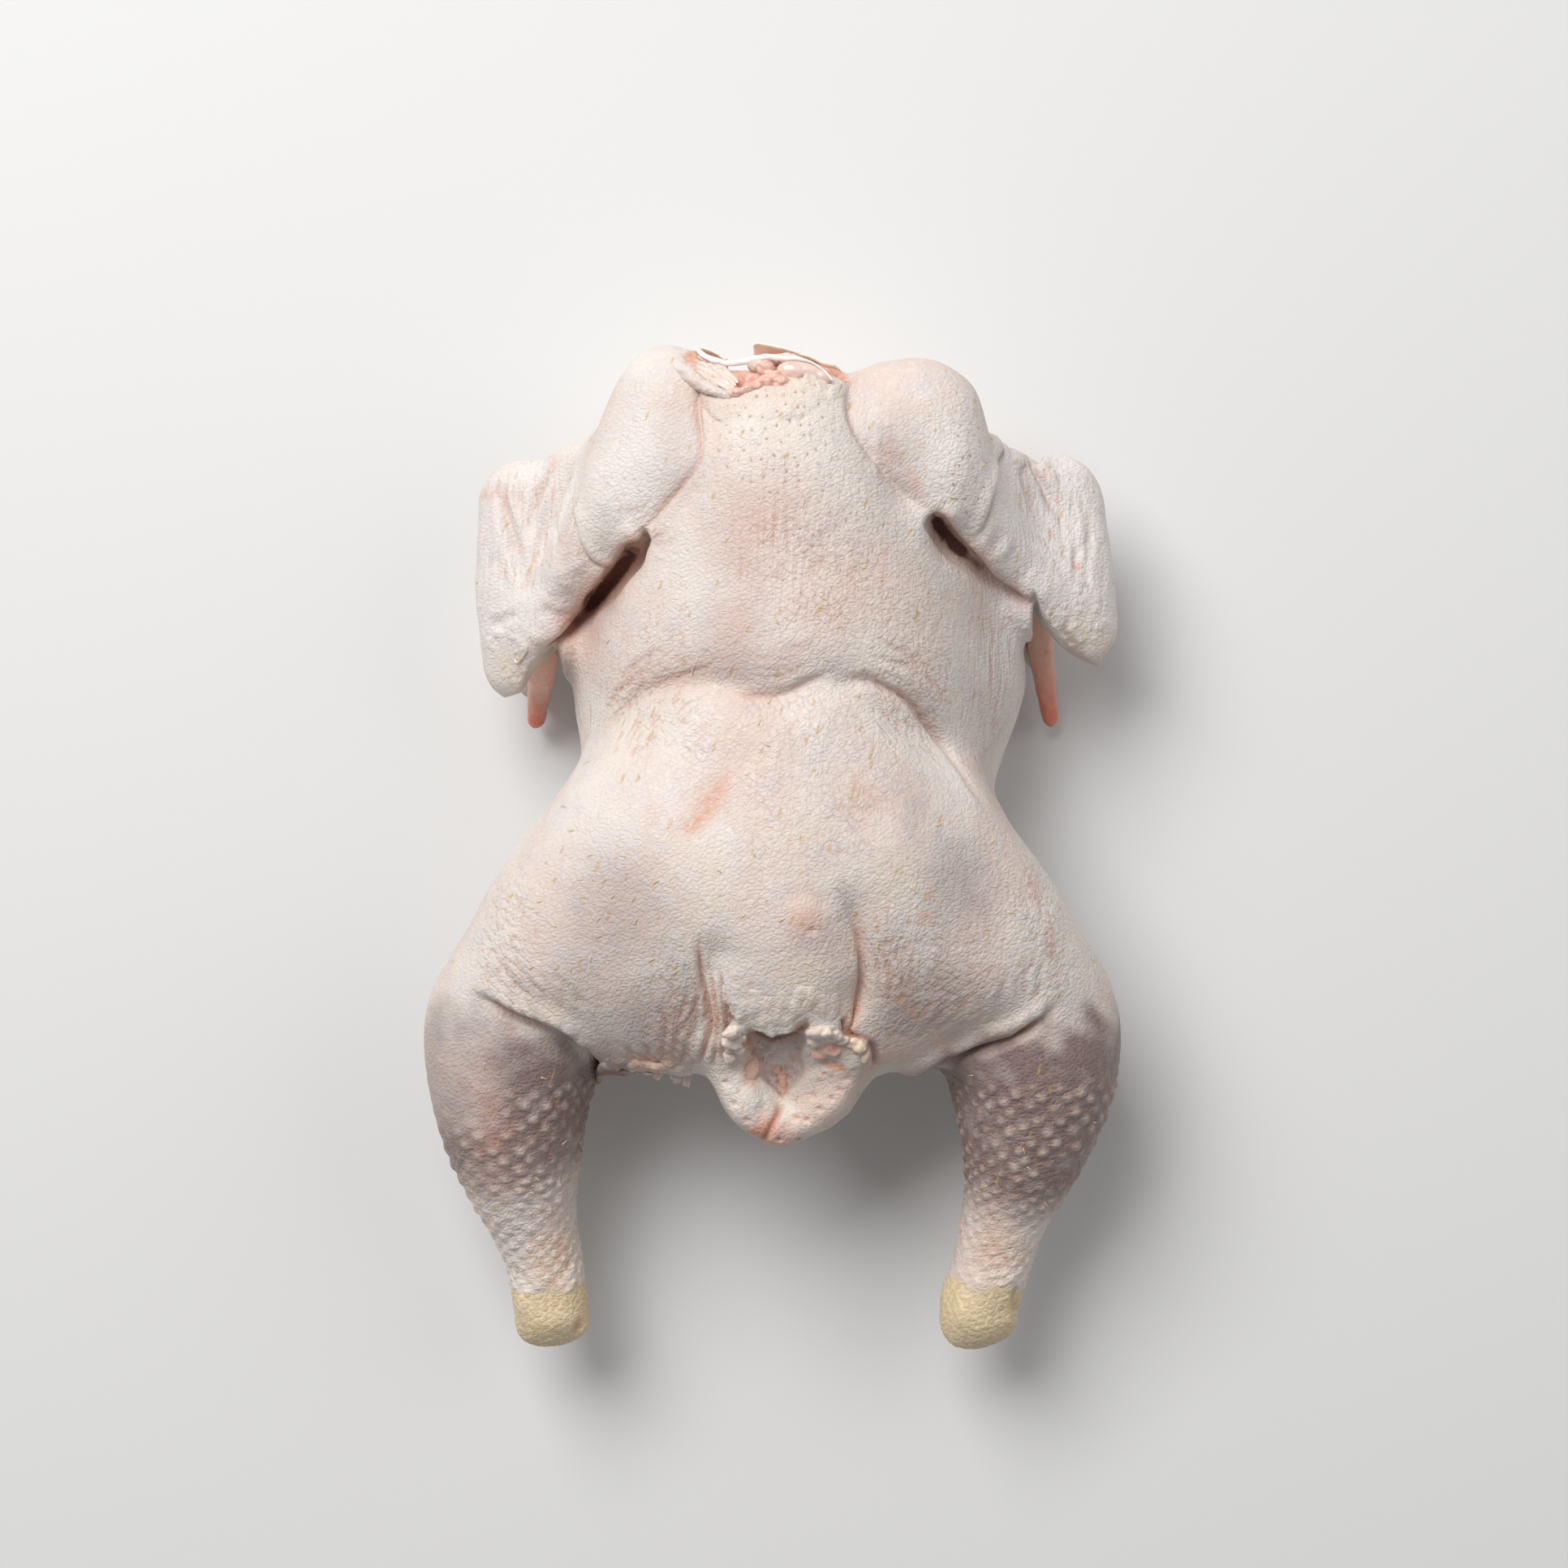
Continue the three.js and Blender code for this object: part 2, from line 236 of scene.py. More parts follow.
def rounded_copy(node, name, levels):
    """A finely subdivided quad copy of a CAD node."""
    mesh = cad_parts[node].data.copy()
    mesh.materials.clear()
    work = bmesh.new()
    work.from_mesh(mesh)
    bmesh.ops.remove_doubles(work, verts=work.verts, dist=1e-5)
    bmesh.ops.join_triangles(work, faces=work.faces, angle_face_threshold=QUAD_ANGLE,
                             angle_shape_threshold=QUAD_ANGLE)
    work.to_mesh(mesh)
    work.free()
    for attribute in [a.name for a in mesh.attributes if a.domain == "CORNER" and not a.is_internal]:
        mesh.attributes.remove(mesh.attributes[attribute])
    return subdivided(linked(name, mesh), levels)


def applied(thing):
    """Replaces an object's mesh by its evaluated one and removes its modifiers."""
    bpy.context.view_layer.update()
    seen = thing.evaluated_get(bpy.context.evaluated_depsgraph_get())
    mesh = bpy.data.meshes.new_from_object(seen)
    old = thing.data
    thing.modifiers.clear()
    thing.data = mesh
    bpy.data.meshes.remove(old)
    mesh.name = thing.name
    return thing


def subdivided(thing, levels):
    """Rounds an object by Catmull-Clark subdivision."""
    rounding = thing.modifiers.new("round", "SUBSURF")
    rounding.levels = rounding.render_levels = levels
    return applied(thing)


def numbers_of(items, field, width=3, kind=float):
    """One field of all points, faces or corners as an array with one row for each."""
    values = np.empty(len(items) * width, kind)
    items.foreach_get(field, values)
    return values.reshape(-1, width)


def store(thing, layer, values):
    """Writes one number for each point as a named attribute."""
    thing.data.attributes.new(layer, "FLOAT", "POINT").data.foreach_set("value", values)


skin = rounded_copy("chicken", "chicken_skin", SKIN_LEVELS)
print("skin points:", len(skin.data.vertices), "faces:", len(skin.data.polygons))


# %% Lines and shares
HILL_WAVES = 14


def share_between(value, low, high):
    """0 below low, 1 above high and a soft S between."""
    t = np.clip((value - low) / (high - low), 0, 1)
    return t * t * (3 - 2 * t)


def bell(value):
    """1 at 0, falling softly on both sides."""
    return np.exp(-(value**2))


def smooth_line(points, step=1.2):
    """A Catmull-Rom line through the points, with places about step apart."""
    points = np.asarray(points, float)
    padded = np.vstack([2 * points[0] - points[1], points, 2 * points[-1] - points[-2]])
    places = []
    for a, b, c, d in zip(padded, padded[1:], padded[2:], padded[3:]):
        count = max(2, int(np.linalg.norm(c - b) / step))
        t = np.linspace(0, 1, count, endpoint=False)[:, None]
        bend, twist = 2 * a - 5 * b + 4 * c - d, 3 * b - a - 3 * c + d
        places.append(0.5 * (2 * b + (c - a) * t + bend * t**2 + twist * t**3))
    return np.vstack([*places, points[-1:]])


def even_line(points, count):
    """The same line with a given number of places, evenly spaced."""
    line = smooth_line(points, 0.5)
    along = np.concatenate([[0], np.cumsum(np.linalg.norm(np.diff(line, axis=0), axis=1))])
    at = np.linspace(0, along[-1], count)
    return np.stack([np.interp(at, along, line[:, axis]) for axis in range(line.shape[1])], axis=1)


def hills(points, size, seed):
    """Smooth random hills about size apart, from about -1 to 1: a sum of waves that run all ways."""
    draw = np.random.default_rng(seed)
    ways = draw.normal(size=(HILL_WAVES, points.shape[1]))
    ways /= np.linalg.norm(ways, axis=1)[:, None]
    turns = 2 * np.pi / (size * draw.uniform(0.7, 1.5, HILL_WAVES))
    starts = draw.uniform(0, 2 * np.pi, HILL_WAVES)
    return np.sin(points @ ways.T * turns + starts).sum(1) / math.sqrt(HILL_WAVES)


def inside_of(outline, spots):
    """How far inside a closed outline each spot lies. It is negative outside."""
    outline = np.asarray(outline, float)
    best = np.full(len(spots), np.inf)
    odd = np.zeros(len(spots), bool)
    for start, run in zip(outline, np.roll(outline, -1, axis=0) - outline):
        gap = spots - start
        t = np.clip(gap @ run / max(run @ run, 1e-9), 0, 1)
        best = np.minimum(best, np.linalg.norm(gap - t[:, None] * run, axis=1))
        level = (gap[:, 1] >= 0) != (gap[:, 1] >= run[1])
        crossing = gap[:, 1] * run[0] / (run[1] or 1.0)
        odd ^= level & (gap[:, 0] < crossing)
    return np.where(odd, best, -best)


# %% The clay
ABOVE = 300  # a height well over the bird


class Clay:
    """The skin's points, outward directions and paints, in millimetres."""

    def __init__(self, thing):
        self.thing = thing
        mesh = thing.data
        self.points = numbers_of(mesh.vertices, "co") / MM
        self.out = numbers_of(mesh.vertex_normals, "vector")
        self.paints = {}
        corners = numbers_of(mesh.loops, "vertex_index", 1, int)
        self.tree = BVHTree.FromPolygons(self.points.tolist(), corners.reshape(-1, 4).tolist())

    def settle(self):
        """Writes the points back, none below the board, and reads the new outward directions."""
        self.points[:, 2] = np.maximum(self.points[:, 2], 0)
        self.thing.data.vertices.foreach_set("co", (self.points * MM).ravel())
        self.thing.data.update()
        self.out = numbers_of(self.thing.data.vertex_normals, "vector")

    def drop(self, place):
        """Puts a place seen from above, or one in space, on the plain skin. Gives it and the way out."""
        hit = None
        if len(place) == 2:
            hit, out, *_ = self.tree.ray_cast((*place, ABOVE), (0, 0, -1))
        if hit is None:
            hit, out, *_ = self.tree.find_nearest((*place, 0)[:3])
        return np.array(hit), np.array(out)

    def lay(self, places, step=1.2):
        """A smooth line along the skin through the places."""
        line = smooth_line([self.drop(place)[0] for place in places], step)
        return np.array([self.drop(tuple(place))[0] for place in line])

    def near_line(self, line, reach):
        """The points within reach of a line: their distances, offsets, shares along it and sides of it."""
        low, high = line.min(0) - reach, line.max(0) + reach
        near = np.flatnonzero(((self.points > low) & (self.points < high)).all(1))
        start, run = line[:-1], np.diff(line, axis=0)
        run_square = np.maximum((run**2).sum(1), 1e-9)
        best = np.full(len(near), np.inf)
        away = np.zeros((len(near), 3))
        share = np.zeros(len(near))
        ahead = np.zeros((len(near), 3))
        for i in range(len(run)):
            gap = self.points[near] - start[i]
            t = np.clip(gap @ run[i] / run_square[i], 0, 1)
            offset = gap - t[:, None] * run[i]
            square = (offset**2).sum(1)
            closer = square < best
            best[closer] = square[closer]
            away[closer] = offset[closer]
            share[closer] = (i + t[closer]) / len(run)
            ahead[closer] = run[i]
        kept = best < reach**2
        near, away, share, ahead = near[kept], away[kept], share[kept], ahead[kept]
        side = np.sign((np.cross(ahead, away) * self.out[near]).sum(1))
        return near, np.sqrt(best[kept]), away, share, side

    def paint(self, name, near, amount):
        """Paints points on a layer, where a stronger paint covers a weaker one."""
        layer = self.paints.setdefault(name, np.zeros(len(self.points)))
        layer[near] = np.maximum(layer[near], amount)


clay = Clay(skin)


# %% The sculptor's tools
def crease(places, depth, width, lip=0.0, over=0.0, pinch=0.0, fade=0.2, last_fade=None, paint=0.6,
           step=1.2):
    """Presses a fold along a line. lip raises both sides, and over raises one side and rolls it across."""
    line = clay.lay(places, step)
    near, away_by, away, share, side = clay.near_line(line, 4 * width)
    last_fade = fade if last_fade is None else last_fade
    ends = share_between(share, 0, fade) * share_between(1 - share, 0, last_fade)
    across = away_by / width
    signed = across * side
    shape = -depth * bell(across) + lip * bell(across - 1.8)
    shape += abs(over) * bell(signed * np.sign(over) - 1.3) if over else 0
    move = clay.out[near] * (shape * ends)[:, None]
    move -= away * (pinch * bell(across / 1.7) * ends)[:, None]
    if over:
        rolled = np.exp(-((signed * np.sign(over) - 1.1) ** 2) * 1.5) * ends * abs(over)
        move -= away / np.maximum(away_by, 1e-6)[:, None] * (rolled * 0.8)[:, None]
    clay.points[near] += move
    # painted shade along the fold's floor, on the fold layer
    clay.paint("fold", near, paint * bell(across * 0.9) * ends)


def around(place, radii, turn=0.0):
    """The points near a place, how far out they lie in an oval of those radii, and the way out."""
    centre, out = clay.drop(place)
    forward = np.array([-math.sin(math.radians(turn)), math.cos(math.radians(turn)), 0])
    right = np.cross(forward, out)
    right /= np.linalg.norm(right)
    forward = np.cross(out, right)
    reach = 2.6 * max(radii)
    near = np.flatnonzero((np.abs(clay.points - centre) < reach + 4).all(1))
    gap = clay.points[near] - centre
    deep = 1.2 * max(radii) + 4
    square = (gap @ right / radii[0]) ** 2 + (gap @ forward / radii[1]) ** 2 + (gap @ out / deep) ** 2
    return near, square, out


def mound(place, radii, height, turn=0.0):
    """Raises, or with a negative height sinks, a soft oval."""
    near, square, out = around(place, radii, turn)
    clay.points[near] += (clay.out[near] * 0.5 + out * 0.5) * (height * np.exp(-square))[:, None]


def mounds(rows):
    """Several mounds: place, radii, height and turn."""
    for row in rows:
        mound(*row)


def beads(places, radii, height, turn=0.0):
    """A row of small mounds of one size."""
    mounds([(place, radii, height, turn) for place in places])


def seen_near(line, reach, lowest):
    """The points that lie within reach of a line's box, seen from above, and higher than lowest."""
    low, high = line.min(0) - reach, line.max(0) + reach
    seen = clay.points[:, :2]
    return np.flatnonzero(((seen > low) & (seen < high)).all(1) & (clay.points[:, 2] > lowest))


def basin(outline, depth, wall):
    """Sinks the skin inside a closed outline seen from above, down a wall of that width."""
    near = seen_near(np.asarray(outline, float), 1, 60)
    near = near[clay.out[near, 2] > 0]
    share = share_between(inside_of(outline, clay.points[near, :2]), 0, wall)
    clay.points[near, 2] -= depth * share
    return near, share


def fan(first, last, count, depth, width, seed, paint=0.3, wander=0.35):
    """Creases that fill the skin between two lines, each crooked and of its own length and depth."""
    draw = np.random.default_rng(seed)
    first, last = even_line(first, 9), even_line(last, 9)
    for i in range(count):
        share = (i + 0.5 + draw.uniform(-0.25, 0.25)) / count
        line = first * (1 - share) + last * share + draw.normal(0, wander, first.shape)
        start, stop = draw.integers(0, 3), draw.integers(6, 9)
        deep = depth * draw.uniform(0.6, 1.2)
        crease(line[start : stop + 1], deep, width, lip=0.3 * deep, fade=0.45, paint=paint, step=1.6)


def tint(name, place, radii, strength=1.0, turn=0.0):
    """Paints a soft oval."""
    near, square, _ = around(place, radii, turn)
    clay.paint(name, near, strength * np.exp(-(square**1.5)))


def tint_all(layers):
    """Paints soft ovals, listed by layer: place, radii, strength and turn."""
    for name, ovals in layers.items():
        for oval in ovals:
            tint(name, *oval)


def tint_along(name, places, radius, strength=1.0, fade=0.15):
    """Paints whatever lies within radius of a line in space."""
    near, away_by, _, share, _ = clay.near_line(smooth_line(places, 4), radius * 1.4)
    ends = share_between(np.minimum(share, 1 - share), 0, fade) if fade else 1.0
    clay.paint(name, near, strength * share_between(-away_by, -1.35 * radius, -0.9 * radius) * ends)


def tint_slot(name, places, width, strength=1.0, fade=0.25):
    """Paints whatever lies under a line seen from above, down to the floor of a slot."""
    line = smooth_line(places)
    near = seen_near(line, 3 * width, 50)
    gaps = np.linalg.norm(clay.points[near, :2][:, None] - line[None], axis=2)
    share = gaps.argmin(1) / (len(line) - 1)
    ends = share_between(np.minimum(share, 1 - share), 0, fade)
    clay.paint(name, near, strength * bell(gaps.min(1) / width) * ends)


def tint_line(name, places, width, strength):
    """Paints a soft line along the skin."""
    near, away_by, _, share, _ = clay.near_line(clay.lay(places), 3 * width)
    ends = share_between(np.minimum(share, 1 - share), 0, 0.25)
    clay.paint(name, near, strength * bell(away_by / width) * ends)


# %% [markdown]
# ## Folds where the limbs meet the body
#
# Skin is one loose bag over the muscles. Where a wing or a leg is folded back, the bag has too much room
# and lies over itself. Such a fold has a floor, a lip on each side, and mostly one side that rolls over the
# other. The `crease` tool makes all three at once, and pinches the points together at the floor so that it
# is sharp. It also paints shade along the floor, on the fold layer that the shader darkens.

# %% Armpits and shoulders
crease([(-39, 102), (-44, 96), (-51, 88), (-58, 81), (-65, 74), (-72, 67), (-77, 61)], 6.5, 3.2, over=-2.6,
       pinch=0.3, fade=0.08, last_fade=0.2, paint=0.75)
crease([(50, 108), (55, 102), (62, 96), (72, 88), (80, 82), (88, 75)], 6.5, 3.2, over=2.6, pinch=0.3,
       fade=0.08, last_fade=0.3, paint=0.7)
clay.settle()
crease([(-42, 98), (-46, 93), (-50, 88), (-54, 83), (-59, 78)], 6.5, 2.9, pinch=-0.25, fade=0.15,
       last_fade=0.45, paint=1.0)
crease([(51, 107), (54, 102), (58, 98), (64, 94), (72, 88)], 6.0, 2.6, pinch=-0.2, fade=0.1, last_fade=0.6,
       paint=1.0)
clay.settle()
# Painted shade: the fold layer darkens the armpit slots, near black along their middle.
tint_slot("fold", [(-40, 101), (-46, 94.5), (-51, 88.5), (-57, 82), (-65, 75)], 2.8, 1.5, fade=0.25)
tint_slot("fold", [(-43, 97), (-50, 88), (-57, 81), (-68, 71)], 4.4, 0.85, fade=0.12)
tint_slot("fold", [(49, 109), (53, 104), (57, 99.5), (64, 94)], 2.8, 1.5, fade=0.22)
tint_slot("fold", [(50, 108), (55, 101), (61, 96), (70, 90)], 4.0, 0.85, fade=0.12)
tint_slot("fold", [(57, 99), (66, 92), (76, 85), (85, 77)], 3.0, 0.62, fade=0.15)
tint_slot("blush", [(-41, 100), (-51, 88), (-61, 78), (-70, 69)], 4.5, 0.8, fade=0.1)
crease([(-22, 151), (-23, 140), (-22, 129), (-23, 122), (-28, 115), (-36, 106), (-41, 99)], 1.5, 1.9,
       over=0.9, pinch=0.35, paint=0.4)
crease([(25, 152), (24, 143), (25, 134), (30, 126), (41, 113), (51, 106)], 1.2, 2.6, over=-0.5, pinch=0.2,
       paint=0.25)
crease([(-63, 112), (-62, 104), (-60, 97), (-55, 92), (-48, 91)], 1.3, 1.4, over=1.1, pinch=0.4, paint=0.4)
crease([(71, 143), (73, 128), (70, 115), (68, 107), (65, 101), (59, 99)], 2.0, 1.9, over=-1.5, pinch=0.4,
       paint=0.45)
crease([(32, 132), (33, 125), (32, 117)], -0.6, 1.6, paint=0.0)
fan([(28, 140), (32, 128), (38, 117)], [(37, 136), (42, 122), (48, 110)], 5, 0.4, 1.3, seed=3, paint=0.15)
fan([(-44, 98), (-36, 101), (-30, 104)], [(-38, 92), (-32, 96), (-26, 99)], 4, 0.4, 1.1, seed=4, paint=0.3)
clay.settle()

# %% Waist
crease([(-62, 26), (-56, 37), (-45, 48), (-38, 52), (-30, 54), (-20, 54), (-11, 50)], 0.6, 2.8, lip=0.2,
       pinch=0.1, fade=0.35, paint=0.3)
crease([(-35, 53), (-28, 56), (-20, 59), (-14, 62)], 0.3, 1.1, lip=0.1, pinch=0.15, fade=0.4, paint=0.4)
crease([(-13, 50), (-4, 49), (4, 50), (12, 54), (19, 55)], 0.7, 1.8, lip=0.2, pinch=0.2, paint=0.35)
crease([(17, 54), (28, 54), (36, 51), (44, 46), (52, 36), (58, 28), (63, 21), (69, 13)], 2.8, 3.0,
       over=-1.3, pinch=0.3, fade=0.3, paint=0.5)
fan([(-62, 30), (-48, 50), (-34, 58)], [(-56, 46), (-42, 62), (-22, 68)], 8, 0.28, 1.0, seed=5)
fan([(22, 58), (38, 54), (52, 40)], [(26, 68), (46, 62), (62, 44)], 6, 0.4, 1.2, seed=7, paint=0.25)
fan([(-12, 56), (0, 54), (14, 59)], [(-10, 66), (2, 64), (16, 68)], 4, 0.35, 1.1, seed=9, paint=0.35)
fan([(1, 44), (2, 34), (0, 20)], [(10, 46), (10, 34), (12, 20)], 4, 0.3, 1.1, seed=10, paint=0.3)
clay.settle()

# %% Beside the tail
crease([(20, -6), (25, -20), (27.5, -33), (26.5, -46), (23, -57)], 1.5, 2.6, over=-1.0, pinch=0.3,
       fade=0.45, paint=0.3)
crease([(26, -25), (27.5, -35), (26.5, -46), (23, -58)], 1.9, 1.15, pinch=0.45, fade=0.4, last_fade=0.1,
       paint=0.9)
crease([(-23, -24), (-22, -38), (-20, -48), (-20, -57), (-24, -68)], 1.3, 1.2, lip=0.5, pinch=0.35,
       paint=0.75)
crease([(-17, -34), (-15.5, -44), (-14.5, -54), (-16, -66)], 1.5, 1.15, lip=0.4, pinch=0.35, paint=0.85)
crease([(-20, -34), (-18, -44), (-17, -55), (-19, -68)], 0.9, 1.0, lip=0.35, pinch=0.3, paint=0.7)
fan([(-36, -34), (-34, -48), (-35, -68)], [(-24, -28), (-23, -44), (-25, -68)], 6, 0.7, 1.05, seed=11,
    paint=0.5)
fan([(29, -18), (32, -38), (30, -58)], [(38, -20), (46, -40), (46, -60)], 6, 0.35, 1.0, seed=12, paint=0.4)
fan([(46, -30), (40, -46), (30, -60)], [(66, -38), (56, -54), (44, -66)], 7, 0.25, 1.1, seed=15, paint=0.2)
clay.settle()

# %% Knees
crease([(-99, -44), (-91, -47), (-80, -50), (-71, -53), (-64, -57), (-57, -62, 76), (-53, -68, 68),
        (-52, -70, 58)], 5.0, 3.0, over=3.0, pinch=0.3, fade=0.35, last_fade=0.02, paint=0.55)
crease([(94, -46), (84, -53), (75, -57), (66, -60), (58, -64), (52, -69, 76), (48, -73, 68), (47, -74, 58)],
       5.0, 3.0, over=-3.0, pinch=0.3, fade=0.35, last_fade=0.02, paint=0.6)
clay.settle()
for inner in [(-61, -70, 62), (57, -76, 62)]:
    mound(inner, (8, 9), -2.6)
crease([(-92, -49), (-82, -52), (-72, -56), (-64, -60)], 0.8, 1.2, lip=0.4, pinch=0.2, fade=0.4, paint=0.35)
crease([(88, -54), (78, -59), (69, -63), (61, -67)], 0.8, 1.2, lip=0.4, pinch=0.2, fade=0.4, paint=0.35)
fan([(-92, -30), (-84, -40), (-78, -48)], [(-64, -34), (-60, -46), (-58, -57)], 8, 0.6, 1.4, seed=13,
    paint=0.15)
fan([(56, -40), (58, -50), (56, -60)], [(86, -30), (86, -42), (88, -50)], 8, 0.5, 1.4, seed=14, paint=0.15)
beads([(-84, -46), (-80, -47.5), (-76, -49), (-72, -50.5), (-68, -52), (-64, -54.5), (-60, -58)],
      (1.5, 2.4), 1.2, 20)
beads([(58, -61), (62, -59), (66, -57), (70, -55.5), (74, -54), (79, -52), (84, -50)], (1.7, 2.6), 1.1, -20)
clay.settle()
# The lower edge of the rump, a soft roll of fat under the skin's edge
crease([(-56, -62), (-48, -68), (-40, -70), (-31, -70)], 1.4, 1.6, lip=0.7, pinch=0.2, paint=0.5)
beads([(-53, -66), (-49, -66), (-45, -68), (-41, -67.5), (-37, -68), (-33, -67)], (1.8, 1.4), 1.2)
beads([(-50, -72, 74), (-45, -74, 74), (-39, -75, 76), (-33, -74, 78)], (3.0, 2.2), 1.4)
fan([(-50, -58), (-46, -64), (-43, -70)], [(-26, -56), (-25, -64), (-25, -72)], 11, 0.9, 1.0, seed=17,
    paint=0.45, wander=0.5)
clay.settle()

# %% [markdown]
# ## Wings
#
# A folded wing is two bones with a thin web of skin between them. The web hangs in long folds that run with
# the bones, and the elbow is bare and knobbly. The long folds are drawn one by one, and `fan` fills finer
# ones between them.

# %% Wing folds
crease([(-64, 130), (-67, 120), (-70, 110), (-75, 96), (-78, 88)], 1.9, 2.2, over=0.9, pinch=0.2, fade=0.45,
       paint=0.3)
crease([(-71, 128), (-75, 119), (-78, 110), (-82, 98)], 1.5, 1.9, over=0.7, pinch=0.2, fade=0.45, paint=0.3)
crease([(-90, 124), (-89, 116), (-86, 106), (-82, 94), (-81, 86)], 1.8, 2.3, lip=0.7, pinch=0.15, fade=0.45,
       paint=0.3)
crease([(-84, 124), (-84, 116), (-83, 107)], 1.0, 1.5, lip=0.4, pinch=0.15, fade=0.45, paint=0.2)
crease([(-60, 118), (-64, 108), (-68, 98), (-71, 90)], 1.1, 1.7, lip=0.4, pinch=0.15, fade=0.45, paint=0.25)
crease([(-78, 92), (-80, 87), (-84, 81)], 0.5, 2.2, lip=0.2, fade=0.45, paint=0.1)
crease([(-93, 74), (-88, 75), (-83, 78)], 0.7, 1.8, lip=0.4, paint=0.1)
fan([(-94, 114), (-95, 98), (-92, 80)], [(-84, 114), (-83, 98), (-80, 84)], 6, 0.6, 1.5, seed=21,
    paint=0.08)
fan([(-80, 118), (-78, 106), (-75, 92)], [(-68, 116), (-69, 106), (-68, 95)], 4, 0.6, 1.4, seed=22,
    paint=0.08)
beads([(-63, 91), (-66, 86), (-69, 80), (-74, 75), (-77, 70), (-68, 89), (-73, 81), (-80, 66)], (2.6, 2.1),
      0.7)
beads([(-66, 90), (-71, 84), (-76, 79), (-80, 73), (-70, 79), (-84, 70)], (1.7, 1.4), 0.45)
fan([(77, 134), (79, 120), (86, 104)], [(86, 132), (90, 118), (99, 102)], 6, 0.7, 1.5, seed=23, paint=0.1)
crease([(84, 136), (86, 127), (89, 118), (93, 110), (98, 102)], 1.7, 2.1, over=0.9, pinch=0.2, fade=0.4,
       paint=0.25)
crease([(79, 132), (81, 122), (84, 112), (88, 103)], 1.1, 1.7, lip=0.4, pinch=0.15, fade=0.4, paint=0.2)
crease([(103, 112), (104, 104), (102, 96)], 0.6, 1.9, lip=0.3, fade=0.4, paint=0.12)
crease([(96, 100), (100, 93), (104, 86)], 0.6, 1.8, lip=0.3, fade=0.4, paint=0.15)
crease([(90, 96), (94, 90), (98, 83)], 0.5, 1.6, lip=0.25, fade=0.4, paint=0.1)
crease([(73, 104), (71, 99), (68, 95)], 0.5, 2.2, lip=0.3, fade=0.4, paint=0.1)
crease([(78, 99), (76, 95), (73, 92)], 0.35, 1.8, lip=0.2, fade=0.4, paint=0.05)
fan([(92, 112), (94, 98), (94, 84)], [(108, 112), (110, 98), (108, 82)], 7, 0.6, 1.4, seed=24, paint=0.12)
crease([(96, 76), (95, 72), (99, 66), (103, 62)], 0.9, 1.4, lip=0.5, paint=0.4)
beads([(84, 90), (88, 85)], (2.0, 4.0), 0.35, -35)
clay.settle()

# %% Outlines seen from above
WING_EDGES = {
    -1: [(-101.5, 79.6), (-97.5, 61.3), (-93, 53), (-89.6, 50.3), (-83.8, 52.6), (-79.7, 61.3), (-72, 68),
         (-68, 71.5)],
    1: [(82, 89), (84, 86), (87.8, 77.3), (94.6, 69.3), (100.4, 64.7), (107.2, 60.9), (112.9, 70.4),
        (114.5, 84)],
}
PULLED_IN = 0.85  # the share of the skin beyond a line that is drawn back to it
SHOULDER_FORWARD = 3.4
FLANK_OUT = 4.2
spots = clay.points
for side_x, edge in WING_EDGES.items():
    edge = np.array(edge, float)
    past = np.interp(spots[:, 0], edge[:, 0], edge[:, 1]) - spots[:, 1]
    hanging = (past > 0) & (past < 25) & (spots[:, 0] > edge[0, 0]) & (spots[:, 0] < edge[-1, 0])
    inner = abs(edge[-1 if side_x < 0 else 0, 0])
    outer_share = share_between(spots[hanging, 0] * side_x, inner, inner + 3.5)
    spots[hanging, 1] += PULLED_IN * past[hanging] * outer_share
forward = share_between(spots[:, 1], 118, 152) * bell((spots[:, 0] + 37) / 12)
spots[:, 1] += SHOULDER_FORWARD * forward
flank = share_between(spots[:, 0], 62, 76) * (1 - share_between(spots[:, 0], 83, 87))
flank *= bell((spots[:, 1] - 56) / 17) * share_between(-spots[:, 2], -80, -60)
spots[:, 0] += FLANK_OUT * flank
clay.settle()

# %% Room for the wing tips
WING_TIPS = {
    -1: [(-76, 70, 34), (-77.6, 62, 26), (-79.2, 54, 17), (-80.4, 47, 11), (-81.2, 43, 8.5),
         (-81.5, 41, 8)],
    1: [(87, 84, 27), (89.2, 74, 22), (91.2, 63, 16), (92.8, 53, 11.5), (94.2, 45, 9), (94.8, 41.5, 8)],
}
SLIMMED = 0.8  # how far the limb shrinks towards the tip's own line
for side_x, line in WING_TIPS.items():
    line = np.array(line[::-1], float)
    low_and_out = (spots[:, 0] * side_x > 73) & (spots[:, 2] < 26)
    tip = np.flatnonzero(low_and_out & (spots[:, 1] > 36) & (spots[:, 1] < 66))
    toward = np.stack([np.interp(spots[tip, 1], line[:, 1], line[:, axis]) - spots[tip, axis]
                       for axis in (0, 2)], 1)
    slim = SLIMMED * share_between(-spots[tip, 1], -65, -57)
    slim = slim * share_between(-np.hypot(*toward.T), -11, -8.5)
    spots[tip[:, None], (0, 2)] += toward * slim[:, None]
clay.settle()

# %% [markdown]
# ## The back and the tail
#
# Low forms make a back look alive: the oil gland's bump with its pit, the hollow over the hip, the flat of
# the thigh muscles. The tail is fat in two lobes. The oil gland was cut out, which left a wet hollow under a
# lip of skin, with raw fat and flesh on both sides of it.

